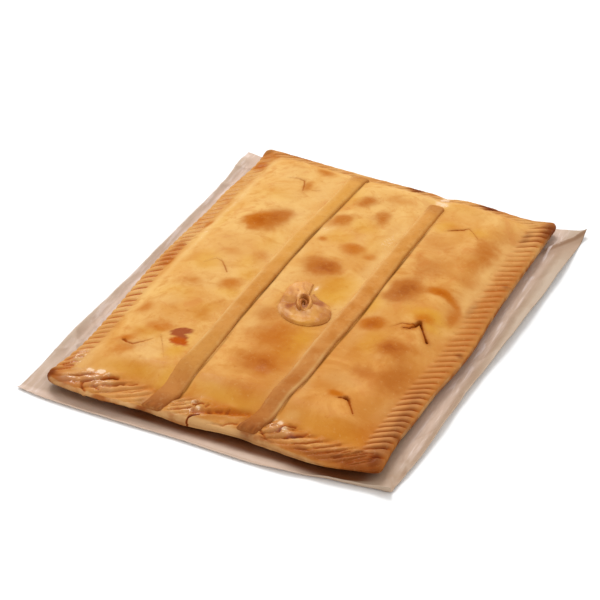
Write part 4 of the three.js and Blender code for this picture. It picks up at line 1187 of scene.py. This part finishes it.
def paper_lift(x, y):
    """How high the paper stands off the floor."""
    left = LEFT_LIP["high"] * ease(LEFT_LIP["crease"] - x, 0, LEFT_LIP["run"])
    left = left * ease(y, *LEFT_LIP["front"]) * (1 - ease(y, *LEFT_LIP["back"]))
    right = RIGHT_LIP["high"] * ease(x - RIGHT_LIP["crease"], 0, RIGHT_LIP["run"])
    right = right * (1 - ease(y, *RIGHT_LIP["back"]))
    front = ease(paper_side["front"](x) + FRONT_LIP["run"] - y, 0, FRONT_LIP["run"])
    front = front * (FRONT_LIP["low"] + (FRONT_LIP["high"] - FRONT_LIP["low"]) * ease(x, *FRONT_LIP["rise"]))
    corner = BACK_CORNER["high"] * ease(y, *BACK_CORNER["y"]) * ease(x, *BACK_CORNER["x"])
    wave = 0.8 * np.sin(2 * np.pi * y / 145) + 0.5 * np.sin(2 * np.pi * y / 57 + 1)
    wave = wave * np.minimum(1, (0.3 * left + right) / 5)
    return np.maximum(0, np.maximum(left + right, np.maximum(front, corner)) + wave)


def paper_sheet_places(mesh):
    """Where the flat sheet's vertices lie; rows and columns crowd towards the turned-up edges."""
    s, t, _ = (places(mesh) + 0.5).T
    s = s - 0.09 * np.sin(2 * np.pi * s)
    t = t - 0.09 * np.sin(2 * np.pi * t)
    flat_x = PAPER_X[0] * (1 - s) + PAPER_X[1] * s
    flat_y = PAPER_Y[0] * (1 - t) + PAPER_Y[1] * t
    return (paper_side["left"](flat_y) * (1 - s) + paper_side["right"](flat_y) * s,
            paper_side["front"](flat_x) * (1 - t) + paper_side["back"](flat_x) * t)


def paper_shades(x, y, lift):
    """What colours the paper: where it is turned up, fatty and in painted shadow, in painted light, crinkled
    with painted glints, and in the fold's painted shade.
    """
    nearest = np.minimum(HALF_W - np.abs(x), HALF_D - np.abs(y))
    # painted light, as if the paper near the crust on the right, in front and along the left glowed through
    painted_light = ease(nearest, -14, -3) * ease(x, HALF_W - 8, HALF_W - 2) * ease(y, -180, -120)
    painted_light = np.maximum(painted_light, ease(-y, HALF_D + 4, HALF_D + 11) * ease(-x, -120, -60))
    painted_light = np.maximum(painted_light, ease(-x, HALF_W - 4, HALF_W + 6) * (0.35 + 0.65 * ease(y, -150, -60)))
    past = pie_side["front"](np.clip(x, -HALF_W, HALF_W)) - y
    reach = soaked_reach(np.clip(x, -HALF_W, HALF_W))
    # fat under the crust's front edge, darkened further as painted shadow where the lifted edge hangs over
    # the paper
    soaked_and_shadow = np.where(-y > HALF_D - 12, 1 - ease(past, reach - 1.2, reach + 1), 0)
    soaked_and_shadow = soaked_and_shadow * (1 - ease(x, 122, 140)) * ease(x, -141, -125) * (0.35 + 0.65 * ease(x, -110, -50))
    # and shaded beside the crust at the left
    shaded = 0.85 * swell(np.clip(-x - HALF_W, 0, None), 0, 5.5) * ease(y, -70, 10) * (x < 0)
    soaked_and_shadow = np.maximum(soaked_and_shadow, shaded * (1 - ease(y, 120, 170)))
    # painted shade on the face of the corner fold turned from the light
    far, side, _ = from_line(x, y, *CORNER_FOLD)
    fold_shade = np.maximum(swell(far, 1.5, 2.2), 0.5 * swell(far, 5, 4)) * (side > 0)
    crinkled = painted_light * ease(np.abs(x), HALF_W - 2, HALF_W + 4) * np.where(x < 0, 0.6, 1)
    return {"lip": np.clip(lift / 5, 0, 1), "soaked_and_shadow": soaked_and_shadow, "painted_light": painted_light, "crinkled": crinkled,
            "fold_shade": fold_shade}


def paper(material):
    """The sheet of baking paper, turned up at its edges."""
    shape = bmesh.new()
    bmesh.ops.create_grid(shape, x_segments=PAPER_COLUMNS, y_segments=PAPER_ROWS, size=0.5)
    piece = finished("baking_paper", shape, material, "paper")
    x, y = paper_sheet_places(piece.data)
    flat = on_floor(x, y)
    ruffle = 0.9 * np.abs(grain(flat, 24, 41)) + 0.45 * np.abs(grain(flat, 9, 42))
    creased = np.zeros_like(x)
    for start, end, wide, high in CREASES:
        creased += high * np.exp(-from_line(x, y, start, end)[0] / wide)
    # under the pie it lies flat
    nearest = np.minimum(HALF_W - np.abs(x), HALF_D - np.abs(y))
    lift = paper_lift(x, y)
    z = PAPER_THICK + lift + ease(-nearest, -6, 4) * (ruffle + np.maximum(creased, -0.2))
    z = np.clip(z, PAPER_THICK, np.where(nearest > 4, PAPER_UNDER_PIE, 50))
    put(piece.data, np.column_stack([x, y, z]))
    record(piece.data, **paper_shades(x, y, lift))
    thick = piece.modifiers.new("thick", "SOLIDIFY")
    thick.thickness = PAPER_THICK * MM
    thick.offset = -1
    return piece


class Field:
    """A value or colour inside a material, with sums written as Python expressions."""

    def __init__(self, look, socket):
        self.look = look
        self.socket = socket

    def sum(self, operation, *terms):
        """A Math node on values and numbers."""
        return self.look.node("ShaderNodeMath", {"operation": operation}, dict(enumerate(terms)))

    def __add__(self, other):
        return self.sum("ADD", self, other)

    def __sub__(self, other):
        return self.sum("SUBTRACT", self, other)

    def __rsub__(self, other):
        return self.sum("SUBTRACT", other, self)

    def __mul__(self, other):
        return self.sum("MULTIPLY", self, other)

    __radd__ = __add__
    __rmul__ = __mul__


class Look:
    """A material under construction."""

    def __init__(self, name):
        self.material = bpy.data.materials.new(name)
        self.material.use_nodes = True
        self.tree = self.material.node_tree
        self.tree.nodes.clear()
        self.place = self.node("ShaderNodeTexCoord", output="Object")

    def node(self, kind, settings=None, inputs=None, output=0):
        """Any node: its settings first, then the values or links of its sockets."""
        made = self.tree.nodes.new(kind)
        for name, value in (settings or {}).items():
            setattr(made, name, value)
        for key, value in (inputs or {}).items():
            if isinstance(value, Field):
                self.tree.links.new(value.socket, made.inputs[key])
            else:
                made.inputs[key].default_value = value
        return Field(self, made.outputs[output])

    def kept(self, name):
        """A value that the mesh keeps for each vertex."""
        return self.node("ShaderNodeAttribute", {"attribute_name": name}, output="Fac")

    def lumps(self, size, detail=2.0, rough=0.5, warp=0.0):
        """Noise from 0 to 1 whose lumps are of a size in millimetres."""
        inputs = {"Vector": self.place, "Scale": 1 / (size * MM), "Detail": detail, "Roughness": rough,
                  "Distortion": warp}
        return self.node("ShaderNodeTexNoise", {}, inputs)

    def step(self, value, start, end):
        """0 below start, 1 above end and smooth between."""
        inputs = {"Value": value, "From Min": start, "From Max": end, "To Min": 0.0, "To Max": 1.0}
        return self.node("ShaderNodeMapRange", {"interpolation_type": "SMOOTHSTEP"}, inputs)

    def blend(self, share, under, over):
        """One colour over another."""
        return self.node("ShaderNodeMix", {"data_type": "RGBA"}, {0: share, 6: under, 7: over}, 2)

    def bump(self, height, far, strength):
        """Fine relief, at most far millimetres high."""
        inputs = {"Strength": strength, "Distance": far * MM, "Height": height}
        return self.node("ShaderNodeBump", {}, inputs)

    def finish(self, colour, roughness, normal, **fixed):
        """Sets the shader's varying inputs from fields and its fixed ones from numbers."""
        inputs = {"Base Color": colour, "Roughness": roughness, "Normal": normal}
        inputs.update({name.replace("_", " "): value for name, value in fixed.items()})
        shader = self.node("ShaderNodeBsdfPrincipled", {}, inputs)
        out = self.tree.nodes.new("ShaderNodeOutputMaterial")
        self.tree.links.new(shader.socket, out.inputs["Surface"])
        return self.material


def dye(red, green, blue):
    """A colour as a maker reads it off a screen, 0 to 255, made linear."""
    parts = [c / 255 for c in (red, green, blue)]
    return (*[c / 12.92 if c <= 0.04045 else ((c + 0.055) / 1.055) ** 2.4 for c in parts], 1.0)


PALE_GOLD = dye(224, 178, 108)
GOLD = dye(214, 157, 84)
TAN = dye(214, 152, 80)
AMBER = dye(194, 126, 56)
YOLK = dye(208, 150, 46)
BLUSH = dye(202, 130, 66)
FLOUR_AND_HIGHLIGHT = dye(226, 186, 122)
CREST_HIGHLIGHT = dye(232, 172, 112)
GLAZE_HIGHLIGHT = dye(240, 206, 172)
ORANGE_BROWN = dye(184, 100, 16)
RED_BROWN = dye(174, 102, 42)
CHAR = dye(148, 74, 26)
TOASTED_ORANGE = dye(172, 84, 8)
TOASTED = dye(158, 76, 12)
DARK_BROWN = dye(96, 32, 6)
GROOVE_SHADE_BROWN = dye(176, 88, 26)
CONTACT_SHADOW_BROWN = dye(122, 70, 16)
OCHRE_SLOPE_SHADE = dye(190, 120, 40)
SIDE_PALE = dye(200, 152, 98)
SIDE_BROWN = dye(160, 92, 42)
BURNT = dye(82, 28, 8)
FLAKE_BROWN = dye(156, 80, 42)
FLAKE_RED = dye(178, 80, 16)
STRIP_LIGHT = dye(220, 166, 80)
STRIP_PALE = dye(202, 138, 70)
STRIP_TAN = dye(186, 116, 46)
STRIP_BROWN = dye(150, 82, 38)
STRIP_END = dye(124, 66, 30)
ROSE_GOLD = dye(214, 154, 80)
ROSE_TAN = dye(198, 130, 62)
ROSE_PEACH_HIGHLIGHT = dye(224, 158, 86)
ROSE_YOLK = dye(206, 144, 48)
ROSE_TOASTED_SHADE = dye(156, 82, 28)
ROSE_HOLLOW_SHADE = dye(136, 74, 26)
ROSE_HIGHLIGHT = dye(236, 186, 130)
PAPER_FOLD_SHADE = dye(140, 98, 62)
PAPER_PINK = dye(182, 156, 133)
PAPER_TAN = dye(172, 142, 116)
PAPER_LIP = dye(186, 166, 142)
PAPER_GLINT = dye(238, 220, 212)
PAPER_LIT = dye(208, 180, 160)
PAPER_SOAKED_SHADOW = dye(122, 68, 32)
FLOOR_WHITE = dye(246, 246, 246)
FLOOR_WHITER = dye(249, 249, 249)


def crust_look():
    look = Look("egg_washed_crust")
    mottle = look.lumps(34, 3, 0.55, 0.4)
    cloud = look.lumps(48, 4, 0.62, 0.7)
    dapple = look.lumps(13, 3, 0.6, 0.5)
    speckle = look.lumps(3.2, 3, 0.6)
    pores = look.lumps(1.1, 2, 0.6)
    colour = look.blend(look.step(cloud, 0.38, 0.64), PALE_GOLD, GOLD)
    deeper = look.blend(look.step(cloud, 0.36, 0.64), TAN, AMBER)
    colour = look.blend(look.step(look.kept("tan") + 0.5 * dapple, 0.25, 1.25), colour, deeper)
    colour = look.blend(look.step(dapple, 0.5, 0.72) * 0.5, colour, AMBER)
    blush = look.step(look.lumps(21, 4, 0.65, 1.0), 0.5, 0.7)
    colour = look.blend(blush * 0.55, colour, BLUSH)
    # flour, and painted highlights where the pale places mark wet glaze
    colour = look.blend(look.kept("pale_and_highlights") * (0.4 + 0.6 * mottle), colour, FLOUR_AND_HIGHLIGHT)
    colour = look.blend(look.kept("yolk") * (0.35 + 0.8 * mottle), colour, YOLK)
    # painted shade on the front slope, which faces away from the light
    colour = look.blend(look.kept("slope_shade") * 0.35, colour, OCHRE_SLOPE_SHADE)
    brown = look.kept("brown") * (0.7 + 0.6 * look.lumps(8, 4, 0.62, 0.8))
    tint = look.blend(look.kept("red"), ORANGE_BROWN, RED_BROWN)
    colour = look.blend(look.step(brown, 0.0, 0.8) * 0.95, colour, tint)
    charred = look.blend(look.kept("red"), TOASTED_ORANGE, CHAR)
    colour = look.blend(look.step(brown, 0.72, 1.1) * 0.8, colour, charred)
    rim = look.kept("rim")
    colour = look.blend(rim * 0.28, colour, SIDE_BROWN)
    # painted shade in the crimps' grooves and painted highlight on their crests
    groove = look.kept("groove")
    colour = look.blend(look.step(groove * (0.5 + mottle), 0.15, 0.95) * 0.95, colour, GROOVE_SHADE_BROWN)
    colour = look.blend(look.step(groove, 0.85, 1.5) * 0.75, colour, DARK_BROWN)
    colour = look.blend(look.kept("crest") * 0.3, colour, CREST_HIGHLIGHT)
    # painted shade in the valley behind the front folds
    colour = look.blend(look.kept("foot") * 0.8, colour, TOASTED_ORANGE)
    # painted shade in the creases between the front folds
    crease = look.kept("crease")
    colour = look.blend(look.step(crease, 0.0, 0.6) * 0.8, colour, GROOVE_SHADE_BROWN)
    colour = look.blend(look.step(crease, 0.45, 1.0) * 0.85, colour, DARK_BROWN)
    # painted highlights on the wet glaze, where the pale places and the noise run high
    runny_highlight = look.kept("pale_and_highlights") + 1.5 * look.lumps(3.0, 3, 0.6, 1.0) - 0.75
    colour = look.blend(look.step(runny_highlight, 0.75, 1.35) * 0.85, colour, GLAZE_HIGHLIGHT)
    colour = look.blend(look.kept("halo") * (0.25 + 0.7 * mottle), colour, FLOUR_AND_HIGHLIGHT)
    # painted contact shadow along the strips and round the rosette
    colour = look.blend(look.step(look.kept("contact_shadow"), 0.1, 1.1) * 0.85, colour, CONTACT_SHADOW_BROWN)
    wall = look.kept("wall")
    side_mottle = look.lumps(16, 3) - 0.35 * look.kept("pale_and_highlights")
    side = look.blend(look.step(side_mottle, 0.35, 0.65), SIDE_PALE, SIDE_BROWN)
    colour = look.blend(look.step(wall, 0.3, 0.75), colour, side)
    skinned = look.blend(look.kept("flake_low"), FLAKE_BROWN, FLAKE_RED)
    colour = look.blend(look.kept("flake"), colour, skinned)
    # burnt places, and painted shade under the left front corner and beside the strips' front ends
    colour = look.blend(look.kept("scorched_and_shaded") * (0.5 + 0.9 * mottle), colour, DARK_BROWN)
    # painted shade in the cuts' gashes, browning round them and dark specks
    cut = look.kept("cut")
    colour = look.blend(look.step(cut, 0.0, 0.55), colour, TOASTED)
    colour = look.blend(look.step(cut, 0.55, 1.1), colour, BURNT)
    # painted shade in the crack of the front rim
    split = look.kept("split")
    colour = look.blend(look.step(split, 0.0, 0.5) * 0.9, colour, TOASTED)
    colour = look.blend(look.step(split, 0.5, 1.0) * 0.9, colour, DARK_BROWN)
    colour = look.blend(look.step(speckle, 0.6, 0.78) * 0.25, colour, TOASTED)
    colour = look.blend(look.step(speckle, 0.42, 0.24) * 0.14, colour, FLOUR_AND_HIGHLIGHT)
    height = 0.55 * look.lumps(12, 4, 0.55) + 0.3 * speckle + 0.15 * pores
    normal = look.bump(height, 0.9, 0.5)
    roughness = 0.42 + 0.16 * look.lumps(18, 3) + 0.1 * groove
    glaze = look.kept("shine") + 0.06 * rim + 0.02 + 0.06 * look.step(mottle, 0.45, 0.7)
    return look.finish(colour, roughness, normal, Coat_Weight=glaze, Coat_Roughness=0.16,
                       Specular_IOR_Level=0.0)


def strip_look():
    look = Look("matt_dough_strip")
    mottle = look.lumps(22, 3, 0.6, 0.3)
    colour = look.blend(look.step(mottle, 0.35, 0.68), STRIP_PALE, STRIP_TAN)
    colour = look.blend(look.kept("light") * (0.4 + 0.8 * mottle), colour, STRIP_LIGHT)
    colour = look.blend(look.kept("brown") * (0.4 + 0.6 * look.lumps(12, 3, 0.6)), colour, STRIP_BROWN)
    colour = look.blend(look.step(look.lumps(3.4, 4, 0.65), 0.5, 0.75) * 0.22, colour, STRIP_BROWN)
    # flour along the left edge and a painted highlight along the right
    colour = look.blend(look.kept("floury") * 0.85, colour, FLOUR_AND_HIGHLIGHT)
    colour = look.blend(look.kept("end") * (0.5 + 0.7 * look.lumps(5, 3, 0.6)), colour, STRIP_END)
    colour = look.blend(look.step(look.lumps(6, 4, 0.65), 0.52, 0.7) * 0.14, colour, FLOUR_AND_HIGHLIGHT)
    height = 0.5 * look.lumps(6, 4, 0.6) + 0.3 * look.lumps(1.6, 3, 0.6)
    return look.finish(colour, 0.58 + 0.12 * mottle, look.bump(height, 0.7, 0.6), Specular_IOR_Level=0.03)


def rosette_look():
    look = Look("glazed_rosette")
    mottle = look.lumps(12, 3, 0.6, 0.4)
    colour = look.blend(look.step(mottle, 0.35, 0.65), ROSE_GOLD, ROSE_TAN)
    # painted highlight on the peach places and along the light lines, painted shade in the toasted places
    # and the deep hollow
    colour = look.blend(look.kept("peach_highlight") * 0.5, colour, ROSE_PEACH_HIGHLIGHT)
    colour = look.blend(look.kept("yolky") * 0.6, colour, ROSE_YOLK)
    colour = look.blend(look.kept("toasted_and_shaded") * (0.5 + 0.8 * mottle), colour, ROSE_TOASTED_SHADE)
    colour = look.blend(look.kept("light") * 0.7, colour, ROSE_HIGHLIGHT)
    colour = look.blend(look.kept("deep") * 0.9, colour, ROSE_HOLLOW_SHADE)
    height = 0.5 * look.lumps(5, 3, 0.6) + 0.2 * look.lumps(1.4, 2, 0.6)
    return look.finish(colour, 0.32 + 0.16 * mottle, look.bump(height, 0.6, 0.5), Specular_IOR_Level=0.1,
                       Coat_Weight=0.1, Coat_Roughness=0.25)


def paper_look():
    look = Look("baking_paper")
    mottle = look.lumps(30, 3, 0.55, 0.3)
    colour = look.blend(look.step(mottle, 0.35, 0.65), PAPER_PINK, PAPER_TAN)
    # fat and painted shadow next to the crust
    colour = look.blend(look.kept("soaked_and_shadow") * (0.7 + 0.5 * mottle), colour, PAPER_SOAKED_SHADOW)
    # painted light where the thin paper seems lit through
    painted_light = look.kept("painted_light")
    colour = look.blend(painted_light * (0.6 + 0.5 * mottle), colour, PAPER_LIT)
    colour = look.blend(look.kept("lip") * 0.5, colour, PAPER_LIP)
    # painted shade on the face of the corner fold
    colour = look.blend(look.kept("fold_shade") * 0.8, colour, PAPER_FOLD_SHADE)
    fibres = look.node("ShaderNodeMapping", {}, {"Vector": look.place, "Scale": (1.0, 0.12, 1.0)})
    streaks = look.node("ShaderNodeTexNoise", {}, {"Vector": fibres, "Scale": 900.0, "Detail": 2.0})
    crinkles = look.node("ShaderNodeTexNoise", {}, {"Vector": fibres, "Scale": 260.0, "Detail": 4.0})
    crinkled = look.kept("crinkled")
    # painted glints on the crinkles and painted shade between them
    colour = look.blend(look.step(crinkles, 0.5, 0.66) * crinkled * 0.75, colour, PAPER_GLINT)
    colour = look.blend(look.step(crinkles, 0.48, 0.3) * crinkled * 0.45, colour, PAPER_TAN)
    height = 0.6 * look.lumps(8, 4, 0.6, 0.8) + 0.1 * streaks + 0.6 * crinkled * crinkles
    return look.finish(colour, 0.42 + 0.2 * mottle, look.bump(height, 1.2, 0.55), Specular_IOR_Level=0.45)


def camera():
    """The view of the pie from in front, from the right and from above."""
    data = bpy.data.cameras.new("camera")
    data.lens = CAMERA_LENS
    data.sensor_width = CAMERA_SENSOR
    data.clip_end = CAMERA_SEES
    turn, tilt = math.radians(CAMERA_TURN), math.radians(CAMERA_TILT)
    ahead = Vector((math.sin(turn) * math.cos(tilt), math.cos(turn) * math.cos(tilt), -math.sin(tilt)))
    made = bpy.data.objects.new("camera", data)
    made.location = (Vector(CAMERA_TARGET) - ahead * CAMERA_FAR + Vector(TO_MIDDLE)) * MM
    made.rotation_euler = ahead.to_track_quat("-Z", "Y").to_euler()
    bpy.context.scene.collection.objects.link(made)
    bpy.context.scene.camera = made


def softbox():
    """A square light that looks at the pie."""
    data = bpy.data.lights.new("upper_left", "AREA")
    data.size = SOFTBOX_SIZE
    data.energy = SOFTBOX_POWER
    made = bpy.data.objects.new("upper_left", data)
    made.location = SOFTBOX_AT
    made.rotation_euler = (-Vector(SOFTBOX_AT)).to_track_quat("-Z", "Y").to_euler()
    bpy.context.scene.collection.objects.link(made)


def white_floor():
    """The white floor that the paper lies on."""
    shape = bmesh.new()
    bmesh.ops.create_grid(shape, x_segments=1, y_segments=1, size=FLOOR_HALF)
    mesh = bpy.data.meshes.new("floor")
    shape.to_mesh(mesh)
    shape.free()
    floor = bpy.data.objects.new("floor", mesh)
    floor.location.z = FLOOR_Z
    bpy.context.scene.collection.objects.link(floor)
    look = Look("white_floor")
    dust = look.lumps(200, 2)
    colour = look.blend(dust, FLOOR_WHITE, FLOOR_WHITER)
    mesh.materials.append(look.finish(colour, 0.7 + 0.1 * dust, look.bump(dust, 0.01, 0.1)))


def studio():
    """The white room round the pie."""
    scene = bpy.context.scene
    scene.view_settings.view_transform = "Standard"
    world = bpy.data.worlds.new("white_room")
    world.use_nodes = True
    sky = world.node_tree.nodes["Background"]
    sky.inputs["Color"].default_value = (1, 1, 1, 1)
    sky.inputs["Strength"].default_value = ROOM_LIGHT
    scene.world = world


crust(crust_look())
strips = strip_look()
for strip_name in STRIPS:
    strip(strip_name, strips)
rosette(rosette_look())
paper(paper_look())
camera()
studio()
softbox()
white_floor()
